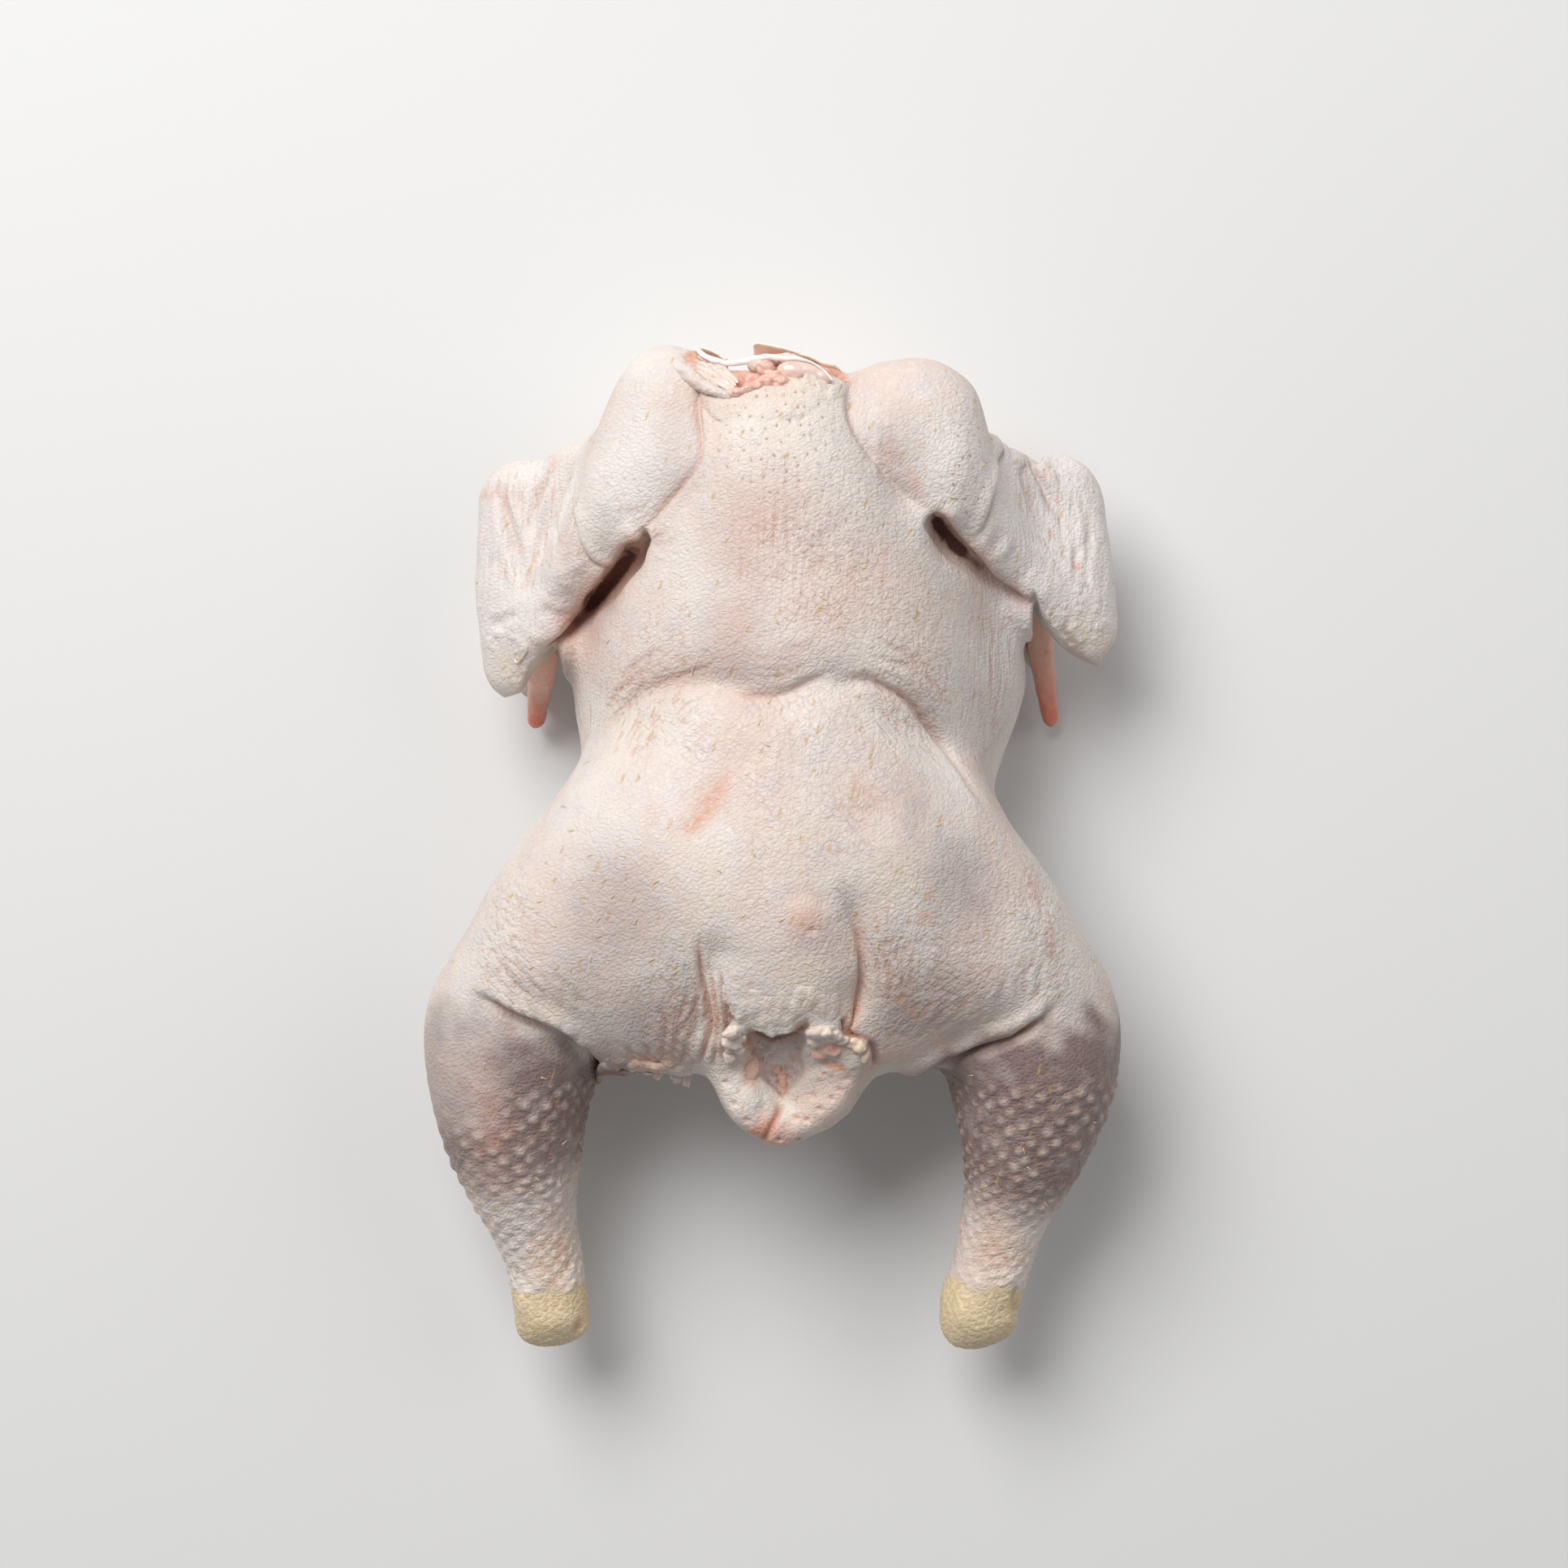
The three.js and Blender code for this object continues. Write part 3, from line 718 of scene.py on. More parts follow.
# %% Low forms of the back
mound((10, -19), (8, 8), 1.4)
mound((12, -23), (1.2, 1.2), -1.0)
crease([(1, -16), (9, -11), (18, -16)], 0.5, 2.4, paint=0.12)
mounds([((-20, 14), (9, 14), -0.9, -25), ((60, -8), (14, 18), -1.8, 15), ((38, 2), (10, 8), 1.0, -30),
        ((-48, -14), (17, 22), -1.1, -20), ((-34, 30), (15, 13), 1.0), ((35, 30), (13, 13), 1.0),
        ((-38, 124), (7, 16), 1.0, 8), ((58, 122), (8, 18), 1.5, -8), ((2, 118), (12, 22), -0.7)])
clay.settle()

# %% The tail's hollow
HOLLOW = [(-9, -53), (-5, -55), (0, -56), (5, -55), (8, -52), (11, -50), (12.5, -53), (10.5, -60),
          (9.6, -64), (10.7, -67), (9.9, -71), (6, -75.5), (3, -79), (0, -76.5), (-3.3, -74), (-5, -71),
          (-4.6, -67), (-7.6, -63.5), (-8.6, -59)]
HOLLOW_DEPTH, HOLLOW_WALL = 4.6, 2.2
near, sunk = basin(HOLLOW, HOLLOW_DEPTH, HOLLOW_WALL)
clay.paint("bruise_and_shade", near, 0.32 * sunk)
clay.paint("pale", near, 0.6 * sunk)
clay.paint("flesh", near, 0.12 * sunk)
mound((1, -57), (9, 3.4), -3.0)
clay.settle()
mound((1, -63), (2.2, 6), 1.0, 20)
beads([(-4, -61), (6, -62), (-1, -68), (5, -70)], (2.0, 2.6), 0.7, 15)
crease([(4, -66), (3, -71), (2.5, -77)], 0.9, 1.1, lip=0.4, paint=0.3)
crease([(-1, -66), (0, -71), (1.5, -76)], 0.6, 0.9, lip=0.3, paint=0.3)
clay.settle()

# %% The tail's fat and lobes
inside = hills(clay.points[near], 3.2, seed=45) * 0.5 + hills(clay.points[near], 1.8, seed=46) * 0.25
clay.points[near, 2] += inside * sunk
clay.paints["bruise_and_shade"][near] *= 1.3 - 0.9 * share_between(inside, -0.5, 0.5)
clay.paint("flesh", near, 0.5 * sunk * share_between(hills(clay.points[near], 5, seed=47), 0.3, 1.2))
# Painted shade under the torn lip, on the fold layer.
under_lip = [(-8, -54), (-3, -57.5), (1, -58.5), (6, -57), (9, -54), (11.5, -53)]
tint_slot("fold", under_lip, 2.4, 0.85, fade=0.1)
tint_slot("scuff", [(-9, -56), (-8, -60), (-6, -61)], 1.6, 0.9, fade=0.1)
clay.settle()
for place, turn in [((27, -66), 0), ((23, -74), -30), ((17, -81), -45), ((10, -87), -50), ((3, -91), -55)]:
    mound(place, (5.5, 6.5), 1.7, turn)
beads([(-16.5, -68), (-15, -75), (-11, -81), (-6, -86)], (5, 6), 1.2, 25)
beads([(-12, -55), (-12.5, -58.5), (-14, -62)], (2.2, 1.8), 1.1)
beads([(-10, -60.5), (14, -55.5), (17, -54.5), (19, -57)], (2.0, 1.6), 1.5)
mounds([((-6.5, -76), (5, 3.2), 1.2, 35), ((-1.5, -79), (3, 2.4), 1.0, 35), ((-6.5, -68), (2.6, 4.5), -0.9),
        ((18, -61), (4, 2.4), -0.8, 10), ((19, -66), (4.4, 1.9), -1.1, -15),
        ((15, -69.5), (5.5, 1.8), 0.7, 30), ((28, -58.5), (2.6, 2.0), 1.6)])
clay.settle()
crease([(2.8, -79.5), (1, -84), (-0.8, -87), (-3.3, -91)], 2.0, 1.3, lip=0.6, pinch=0.4, paint=0.8)
mound((25, -63.5), (4.6, 6), 2.8, -10)
mound((23, -71), (4.6, 6), 1.4, -30)
clay.settle()
crease([(22, -50), (22.4, -54), (24.5, -56.8), (28.5, -58), (31.4, -60.5), (32, -64.5), (31.5, -68)], 3.0,
       1.4, lip=0.6, pinch=0.35, fade=0.12, paint=0.85)
mound((-5.2, -77.6), (6.6, 4.4), 1.3, 35)
mound((-10, -72), (4.4, 4.8), 1.0, 35)
beads([(11, -72.5), (15.5, -70), (20, -67.6), (7.4, -76)], (3.6, 2.0), 0.8, 30)
beads([(-8, -75), (-3.4, -78.8), (-6.2, -79.6), (-10.8, -71), (-1.4, -81)], (1.8, 1.4), 0.5, 35)
crease([(9.5, -73.5), (15, -71), (22, -68), (26, -63)], 0.7, 1.2, over=-0.4, paint=0.15)
tint_all({"pale": [((-5, -77.6), (7, 4.6), 1.0, 35), ((-10, -72), (4.4, 4.6), 0.8, 35),
                   ((-10.4, -61), (2, 2), 1.0, 35), ((12, -72), (5, 2), 0.7, 35)]})
TAIL_PITS = [(20.5, -74), (18.4, -77), (15, -80.5), (13, -77), (7.3, -84), (8, -90), (1.8, -90),
             (16.3, -69), (22.7, -70), (24.5, -66), (11, -84), (-12, -79), (-14.5, -72), (-8, -84)]
beads(TAIL_PITS, (0.9, 0.8), -1.3)
# Each pit is tinted orange and also gets painted shade on the fold layer.
for place in TAIL_PITS:
    tint("scuff", place, (1.0, 0.8), 0.45)
    tint("fold", place, (0.6, 0.5), 0.3)
clay.settle()

# %% The vent under the tail
crease([(-9, -68, 46), (-3, -66, 43), (5, -65, 42), (13, -66, 43), (18, -68, 46)], 1.4, 1.8, lip=0.8,
       pinch=0.2, paint=0.35)
mound((4.5, -72, 52), (9, 6), -1.6)
# The vent's opening gets painted shade on the fold layer.
tint_all({
    "flesh": [((4.5, -72, 53), (11, 8), 0.9), ((-3, -72, 52), (5, 5), 0.5), ((12, -72, 52), (5, 5), 0.5)],
    "fold": [((4.5, -71, 52), (7, 4), 1.0)],
})
clay.settle()

# %% Hocks
HOCK_WIDE, HOCK_LONG, HOCK_SQUARE = 14.2, 14.5, 0.85
HOCK_MIDDLE = -151
for middle in (-71.5, 73.5):
    across = (spots[:, 0] - middle) / HOCK_WIDE
    along = (spots[:, 1] - HOCK_MIDDLE) / HOCK_LONG
    foot = np.flatnonzero((spots[:, 1] < -140) & (np.abs(across) < 1.6))
    across, along = across[foot], along[foot]
    corner = np.hypot(across, along) / np.maximum((across**4 + along**4) ** 0.25, 1e-6)
    grow = (corner - 1) * HOCK_SQUARE * share_between(-spots[foot, 1], 142, 156)
    spots[foot, 0] += across * HOCK_WIDE * grow
    spots[foot, 1] += along * HOCK_LONG * grow * 0.6
clay.settle()
beads([(-82, -150), (84, -150)], (3.6, 6), 1.6)
beads([(-61, -151), (62, -152)], (3.6, 6), 1.6)
beads([(-77, -141), (-67, -142), (68, -142), (78, -141)], (3.4, 4), 0.8)
mounds([((-64.5, -157), (2.2, 2.6), -2.2, -20), ((-71, -150), (4, 3.6), -0.5),
        ((74, -152), (4.5, 3.5), -0.5)])
crease([(80, -142), (79, -147), (80, -153)], 0.9, 1.3, lip=0.3, paint=0.2)
clay.settle()

# %% [markdown]
# ## Paint on the clay
#
# Raw skin has few sharp colours. Thin skin over muscle looks purple-grey, fat shows through as cream, rubbed
# places turn pink or orange, and the scaly skin that is left at the hock is horn yellow. Each colour gets a
# layer from 0 to 1 on the points, painted in soft ovals and lines. The shader reads these layers by name, so
# the colours stay where they are when the finish changes. A few of the ovals paint light or shade instead:
# paler skin on slopes away from the window, highlights on the hips and shade on the flanks under the wings.

# %% Thin skin over muscle
for side_x, knee, shank in ((-1, (-80, -24, 58), (-79, -112, 46)), (1, (82, -26, 58), (80, -127, 45))):
    tint_along("bruise_and_shade", [knee, (side_x * 81, -92, 50), shank], 36, 0.98, fade=0.24)
    tint_along("goose", [(side_x * 80, -66, 55), (side_x * 80, -95, 50), (side_x * 75, -150, 35)], 36, 1.0,
               fade=0.12)
outer_knee = np.clip(np.abs(spots[:, 0]), 57, 100)
on_left = spots[:, 0] < 0
crease_y = np.where(on_left, -47, -52) - (99 - outer_knee) * np.where(on_left, 0.36, 0.25)
over_knee = spots[:, 1] - crease_y + hills(spots, 14, seed=43) * 3.5
clay.paints["bruise_and_shade"] *= 1 - 0.9 * share_between(over_knee, -9, 5)
tint_all({
    # The bruise ovals on both flanks under the wings and in the left armpit are painted shade; the others are
    # the purple-grey of thin skin.
    "bruise_and_shade": [((-50, -18), (17, 22), 0.28, -15), ((-60, -42), (10, 12), 0.25), ((-36, -52), (14, 16), 0.4),
               ((45, 13), (14, 16), 0.32), ((-12, 70), (12, 18), 0.2), ((60, -10), (14, 18), 0.45, 10),
               ((46, -46), (18, 14), 0.55, 20), ((26, -64, 90), (8, 10), 0.3), ((70, 52), (10, 34), 0.25),
               ((-66, 50), (7, 22), 0.5), ((-53, 82), (9, 6), 0.3, -40), ((38, 126), (9, 15), 0.28),
               ((-31, 128), (7, 14), 0.2), ((82, 116), (7, 17), 0.12, -10)],
    "pale": [((60, -12), (12, 16), 0.4, 10)],
    "scuff": [((40, -64, 84), (16, 5), 0.3, 15)],
    "blush": [((10, -20), (7, 7), 0.4), ((64, -28), (12, 14), 0.25), ((-58, 72), (9, 12), 0.45, -30)],
})

# %% Cream fat and pale wings
tint_all({
    "fat": [((37, -6), (10, 11), 0.6), ((30, -46), (7, 14), 0.35), ((60, 120), (9, 20), 0.3, -6),
            ((2, 136), (20, 16), 0.35), ((-70, -50), (13, 5), 0.8, 20), ((70, -54), (15, 5), 0.8, -20),
            ((-72, -134), (9, 12), 0.75), ((73, -134), (9, 12), 0.6), ((-46, 38), (16, 12), 0.3)],
    # Painted light: paler skin on the right shoulder's slope, which faces away from the window.
    "pale": [((60, 122), (11, 22), 0.7, -6)],
})
for place in [(26, -68), (20, -78), (10, -86), (-17, -68), (-14, -77), (-8, -76), (-1.5, -79), (15, -69.5),
              (-13, -58), (-10, -60.5), (15, -55), (19, -57)]:
    tint("fat", place, (6, 6), 0.55)
    tint("pale", place, (6, 6), 0.4)
tint_along("pale", [(-70, 128, 60), (-85, 104, 55), (-84, 66, 55)], 26, 0.65, fade=0.1)
# The right wing is painted paler than the left: partly its own pale skin, partly painted light on its side
# away from the window.
tint_along("pale", [(82, 134, 70), (92, 104, 58), (100, 66, 55)], 26, 1.0, fade=0.1)
tint_all({
    # Among these pale ovals, those on the hips at (-36, 24), (-24, 40), (14, 34) and on the left thigh at
    # (-58, -2) are painted highlights; the rest are paler skin.
    "pale": [((-46, 124), (12, 22), 0.55), ((-36, 24), (14, 10), 0.3, 20), ((-24, 40), (12, 8), 0.4, 20),
             ((14, 34), (14, 12), 0.4), ((-58, -2), (12, 8), 0.4, 30), ((76, -139), (9, 3.5), 0.9),
             ((-79, -146), (4, 7), 0.8), ((84, -150), (3.5, 8), 0.9)],
    "smooth": [((-44, 120), (16, 30), 0.8), ((0, 132), (24, 18), 0.5)],
})
tint_along("smooth", [(-80, -66, 58), (-80, -110, 45)], 40, 0.8)
tint_along("smooth", [(80, -66, 58), (80, -110, 45)], 40, 0.8)

# %% Rubbed, scaly and bloody places
edge_wobble = hills(spots, 9, seed=41) * 1.2
for middle, slant in ((-71.5, 0.12), (73.5, -0.1)):
    hock = np.flatnonzero((spots[:, 1] < -138) & (np.abs(spots[:, 0] - middle) < 24))
    start = -spots[hock, 1] + slant * (spots[hock, 0] - middle) + edge_wobble[hock]
    clay.paint("horn", hock, share_between(start, 142, 145))
tint("horn", (-86, 60), (8, 6), 0.16)
tint("horn", (98, 72), (9, 9), 0.2)
tint_along("knob", [(-78, 66, 62), (-90, 56, 55)], 15, 0.9)
tint_along("knob", [(90, 80, 64), (102, 64, 55)], 15, 0.9)
tint_along("blush", [(-77, 55, 30), (-76, 40, 12)], 9, 0.8, fade=0)
tint_along("blush", [(86, 52, 30), (90, 36, 12)], 9, 0.9, fade=0)
tint_along("blush", [(-76, 38, 10), (-76, 30, 6)], 6, 1.0, fade=0)
tint_along("blush", [(89, 38, 12), (91, 28, 8)], 6, 1.0, fade=0)
tint_all({
    "blush": [((-2, 98), (14, 24), 0.42), ((14, 84), (16, 22), 0.34), ((-8, 34), (14, 20), 0.2),
              ((-12, 72), (8, 12), 0.4, -20), ((-12, 74), (2.5, 6), 0.7, -20), ((30, 14), (7, 9), 0.35),
              ((82, -10), (2.4, 9), 0.6, 15), ((88, -27), (2.2, 7), 0.6, 8), ((45, 116), (2, 5), 0.6, 20),
              ((36, 125), (2, 4), 0.5), ((99, 93), (1.5, 1.5), 0.9), ((-26, 58), (22, 6), 0.3, 10),
              ((1, -90), (10, 7), 1.0, -30), ((16, -78), (11, 8), 0.45, 40), ((-92, -85), (7, 22), 0.45),
              ((-74, -116), (8, 6), 0.3), ((-72, -141), (1.2, 1.2), 1.0), ((52, 98), (5, 4), 0.4),
              ((-19, 17), (4, 13), 0.6, -32), ((-14, -64), (5, 8), 0.25)],
    # The second bruise oval here is painted shade on the left flank under the wing.
    "bruise_and_shade": [((28, 6), (16, 20), 0.2), ((-68, 58), (6, 12), 0.6)],
    "scuff": [((-19, 17), (2.4, 9), 0.6, -32), ((-72, -128), (10, 12), 0.22), ((74, -128), (10, 12), 0.2),
              ((25, -52), (3, 8), 0.5), ((-17, -52), (5, 12), 0.3), ((-40, -66), (14, 5), 0.35),
              ((-11, -50), (5, 3), 0.3), ((10, -20), (5, 4), 0.25), ((-66, 66), (5, 8), 0.4),
              ((-24, 10), (2, 4), 0.8, -60), ((47, -20), (1.6, 3), 0.7, -30), ((50, -12), (1.2, 2.4), 0.6),
              ((52, -27), (1.0, 2.0), 0.5), ((26, 22), (1.6, 3), 0.5), ((-4, -88), (5, 4), 0.9, 30),
              ((19, -66), (5, 2.2), 0.8, -15), ((-6.5, -68), (3, 5), 0.8), ((28, -58), (3, 2), 0.6),
              ((9, -84), (3, 1.5), 0.5)],
    # The first two pale ovals are painted light, lifting the left shank and the right upper arm where the
    # lamps leave them darker.
    "pale": [((-77, -124), (11, 15), 0.8), ((62, 124), (13, 22), 1.0), ((95, -90), (9, 24), 0.8),
             ((12, -80), (8, 5), 0.5, 40)],
    # The cream fat oval at (13, -78) is partly painted light, lifting the tail's shaded side.
    "fat": [((-24, -8), (12, 20), 0.35), ((6, 4), (10, 12), 0.3), ((13, -78), (13, 11), 0.6, 40),
            ((-10, -49), (8, 5), 0.7), ((10, -37), (9, 7), 0.6)],
    "flesh": [((18, -61), (4.5, 2.6), 0.9), ((-7, -68), (3.4, 5), 0.7), ((3, -73), (1.8, 5), 1.0)],
})
tint_line("scuff", [(35, 102), (35, 93), (34, 81)], 0.7, 0.6)
tint_line("scuff", [(-69, 131), (-73, 122), (-77, 116)], 1.6, 0.35)
tint_line("scuff", [(-92, 126), (-89, 116), (-84, 104)], 1.8, 0.35)
tint_line("scuff", [(-76, 96), (-79, 90), (-82, 84)], 1.4, 0.2)
tint_line("bruise_and_shade", [(78, 140), (84, 126), (92, 110)], 1.3, 0.45)
tint_line("bruise_and_shade", [(84, 132), (88, 118), (96, 106)], 1.1, 0.4)
tint_line("bruise_and_shade", [(-72, 118), (-76, 104), (-78, 92)], 1.3, 0.3)

# %% Where wrinkles, follicles and cells show
tint_all({
    "follicle": [((2, 130), (22, 24), 1.0), ((62, 122), (11, 24), 1.0, -6), ((14, 100), (26, 26), 0.6),
                 ((40, 60), (24, 30), 0.35), ((-48, 116), (14, 24), 0.3)],
})
for place, radii in [((24, 14), (20, 24)), ((-4, 16), (9, 22)), ((12, 44), (22, 14)), ((44, 66), (18, 20)),
                     ((84, -22), (14, 26)), ((-86, -24), (14, 26)), ((-30, 36), (16, 12)),
                     ((16, 84), (20, 24)), ((52, -34), (16, 16))]:
    tint("cells", place, radii, 0.9)
tint_all({
    "strands_up": [((-28, -52), (14, 26), 1.0), ((36, -40), (12, 26), 0.9), ((70, 56), (16, 36), 0.8),
                   ((-62, 48), (10, 22), 1.0), ((0, 94), (14, 22), 0.5), ((-80, 106), (18, 30), 0.6),
                   ((88, 112), (16, 30), 0.7)],
    "strands_left": [((-40, 46), (26, 16), 1.0), ((50, -52), (22, 14), 0.8, 20), ((-34, 66), (20, 14), 0.6),
                     ((88, -30), (10, 26), 0.8), ((-40, 104), (9, 7), 0.8)],
    "strands_right": [((44, 48), (24, 18), 1.0), ((-84, -34), (12, 26), 0.9), ((40, 78), (18, 16), 0.4),
                      ((56, 100), (9, 7), 0.8)],
})
clay.paint("steep", slice(None), share_between(1 - np.abs(clay.out[:, 2]), 0.3, 0.5))
tint_all({
    "fleck": [((-50, -20), (26, 30), 1.0), ((58, -14), (26, 30), 0.8), ((0, -20), (18, 26), 0.8),
              ((10, 50), (50, 50), 0.35), ((60, 110), (14, 26), 0.3)],
})
tint_along("fleck", [(-80, -60, 60), (-78, -130, 45)], 30, 0.35)
tint_along("fleck", [(80, -60, 60), (78, -130, 45)], 30, 0.3)
print("paint layers:", sorted(clay.paints))

# %% [markdown]
# ## Flesh at the neck
#
# The neck was cut off behind the shoulders. Behind the edge of the cut the skin stops and raw flesh shows, so
# the clay there is painted as flesh, and made lumpy.

# %% The breast's front drawn back behind the cut
FRONT = np.array([(-40, 170), (-35, 163), (-28, 161), (-24, 159), (-18, 155), (-14, 152.8), (-8, 152.5),
                  (-5, 155.5), (4, 156), (12, 154.5), (18, 152.8), (24, 152), (30, 154.5), (36, 158),
                  (42, 170)], float)
front = (spots[:, 1] > 148) & (np.abs(spots[:, 0]) < 42)
over = np.maximum(spots[front, 1] - np.interp(spots[front, 0], FRONT[:, 0], FRONT[:, 1]), 0)
spots[front, 1] -= PULLED_IN * over
clay.settle()

# %% The cut at the neck
NECK_CUT = [(-26, 153), (-22, 148), (-18, 146), (-12, 144), (-6, 146), (0, 146), (4, 146), (5, 149),
            (11, 151.5), (15, 151), (18, 149), (21, 150), (24, 152.5), (21, 158), (12, 163), (-5, 165),
            (-22, 164), (-29, 158)]
mounds([((-8.9, 149.8), (3.4, 3.0), -3.2, 30), ((20.8, 151.4), (3.6, 2.2), -2.2, -25),
        ((-2, 156), (12, 3.0), -1.5)])
clay.settle()
seen = np.flatnonzero((spots[:, 1] > 138) & (clay.out[:, 2] > -0.2) & (np.abs(spots[:, 0]) < 40))
cut = share_between(inside_of(NECK_CUT, spots[seen, :2]), -0.4, 1.2) * share_between(spots[seen, 2], 72, 78)
clay.paint("flesh", seen, 0.85 * cut)
clay.paint("scuff", seen, 0.5 * cut * share_between(spots[seen, 1], 147, 153))
# Painted shade on the fold layer where the cut falls away at its front.
clay.paint("fold", seen, 0.5 * cut * share_between(spots[seen, 1], 152, 158))
# Painted shade in the two sunken pits beside the cut.
tint_all({
    "fold": [((-8.9, 149.8), (3.2, 3.0), 0.66, 30), ((20.8, 151.4), (3.8, 2.0), 0.6, -25)],
    "scuff": [((20.8, 151.4), (5.0, 3.0), 1.0, -25)],
})
lumpy = hills(spots[seen], 6.0, seed=31) * 0.4 + hills(spots[seen], 3.5, seed=32) * 0.15
spots[seen] += clay.out[seen] * (cut * lumpy)[:, None]
clay.settle()

# %% [markdown]
# ## Goose pimples by Geometry Nodes
#
# Each pimple sits where a feather was. Feathers grow in slanting rows, so pimples do too. A pattern that
# follows the surface is work for Geometry Nodes. Each point of a leg first gets its own flat coordinates: how
# far along the bone it is and how far round. The tree lays a Voronoi pattern with little randomness on them,
# raises a dome over every cell, and stores the dome's height for the shader. The same tree presses the net of
# scales into the hocks, makes the elbows knobbly and gives the rest of the skin its slight unevenness.


# %% Coordinates that run along and round a leg
LEG_REACH = 42


def leg_rows(axis, tops, bottoms):
    """The points of one leg: how far along the bone and round it they lie, in millimetres."""
    line = smooth_line(axis, 2)
    near, _, away, share, _ = clay.near_line(line, LEG_REACH)
    ahead = line[-1] - line[0]
    ahead /= np.linalg.norm(ahead)
    up = np.array([0.0, 0.0, 1.0]) - ahead * ahead[2]
    up /= np.linalg.norm(up)
    turn = np.arctan2(away @ np.cross(ahead, up), away @ up)
    along = (share + 0.3 * share**4) * np.linalg.norm(np.diff(line, axis=0), axis=1).sum()
    round_by = turn * (tops + (bottoms - tops) * share)
    return near, along, round_by


ROW_SLANT = math.radians(38)
THIGH_RADIUS, HOCK_RADIUS = 30, 14
rows = np.zeros((len(spots), 3))
for side_x in (-1, 1):
    bone = [(side_x * 82, -50, 52), (side_x * 80, -100, 44), (side_x * 73, -165, 32)]
    near, along, round_by = leg_rows(bone, THIGH_RADIUS, HOCK_RADIUS)
    rows[near, 0] = along * math.cos(ROW_SLANT) - round_by * math.sin(ROW_SLANT)
    rows[near, 1] = along * math.sin(ROW_SLANT) + round_by * math.cos(ROW_SLANT)
upper_left_thigh = share_between(-spots[:, 0], 78, 96) * share_between(spots[:, 1], -100, -78)
clay.paints["goose"] *= 1 - 0.8 * upper_left_thigh
clay.paints["bruise_and_shade"] *= 1 - 0.5 * upper_left_thigh
clay.paints["goose"] *= 1 - 0.3 * share_between(-spots[:, 1], 112, 126)
clay.paints["goose"] *= 1 - clay.paints["horn"]
for name, layer in clay.paints.items():
    store(skin, name, np.clip(layer, 0, 1))
skin.data.attributes.new("rows", "FLOAT_VECTOR", "POINT").data.foreach_set("vector", rows.ravel())
print("points on the legs:", int((np.abs(rows).sum(1) > 0).sum()))


# %% What both trees share
class Tree(Bench):
    """A Geometry Nodes tree under way, with a skin, some sizes and a finish as its inputs."""

    def __init__(self, name, output, sizes):
        super().__init__(bpy.data.node_groups.new(name, "GeometryNodeTree"))
        self.output = output
        add = self.tree.interface.new_socket
        add("Skin", in_out="INPUT", socket_type="NodeSocketGeometry")
        for label, size in sizes.items():
            add(label, in_out="INPUT", socket_type="NodeSocketFloat").default_value = size
        add("Finish", in_out="INPUT", socket_type="NodeSocketMaterial")
        add(output, in_out="OUTPUT", socket_type="NodeSocketGeometry")
        start = self.node("NodeGroupInput").socket.node
        self.given = {socket.name: Wire(self, socket) for socket in start.outputs}

    def layer(self, name, kind="FLOAT"):
        return self.node("GeometryNodeInputNamedAttribute", {"data_type": kind}, {"Name": name})

    def kept(self, geometry, name, value):
        """Stores a value on the points, where the shader can read it."""
        settings = {"data_type": "FLOAT", "domain": "POINT"}
        sockets = {"Geometry": geometry, "Name": name, "Value": value}
        return self.node("GeometryNodeStoreNamedAttribute", settings, sockets)

    def ended(self, geometry):
        """Puts out real faces with the finish on them."""
        real = self.node("GeometryNodeRealizeInstances", {}, {"Geometry": geometry})
        sockets = {"Geometry": real, "Material": self.given["Finish"]}
        self.node("NodeGroupOutput", {}, {self.output: self.node("GeometryNodeSetMaterial", {}, sockets)})
        return self.tree


def run_tree(thing, tree, finish):
    """Runs a tree on an object as a modifier, with its inputs set by their identifiers."""
    modifier = thing.modifiers.new(tree.name, "NODES")
    modifier.node_group = tree
    for item in tree.interface.items_tree:
        if item.in_out == "INPUT" and item.name == "Finish":
            modifier[item.identifier] = finish
    applied(thing)
    if not thing.data.materials:
        thing.data.materials.append(finish)


# %% The relief tree
RELIEF = {
    "Pimple Height": 0.0011, "Pimple Spacing": 0.0054, "Scale Depth": 0.00024, "Scale Size": 0.0034,
    "Knob Height": 0.0006, "Knob Size": 0.0032, "Hill Height": 0.00035, "Hill Size": 0.011,
}  # in metres


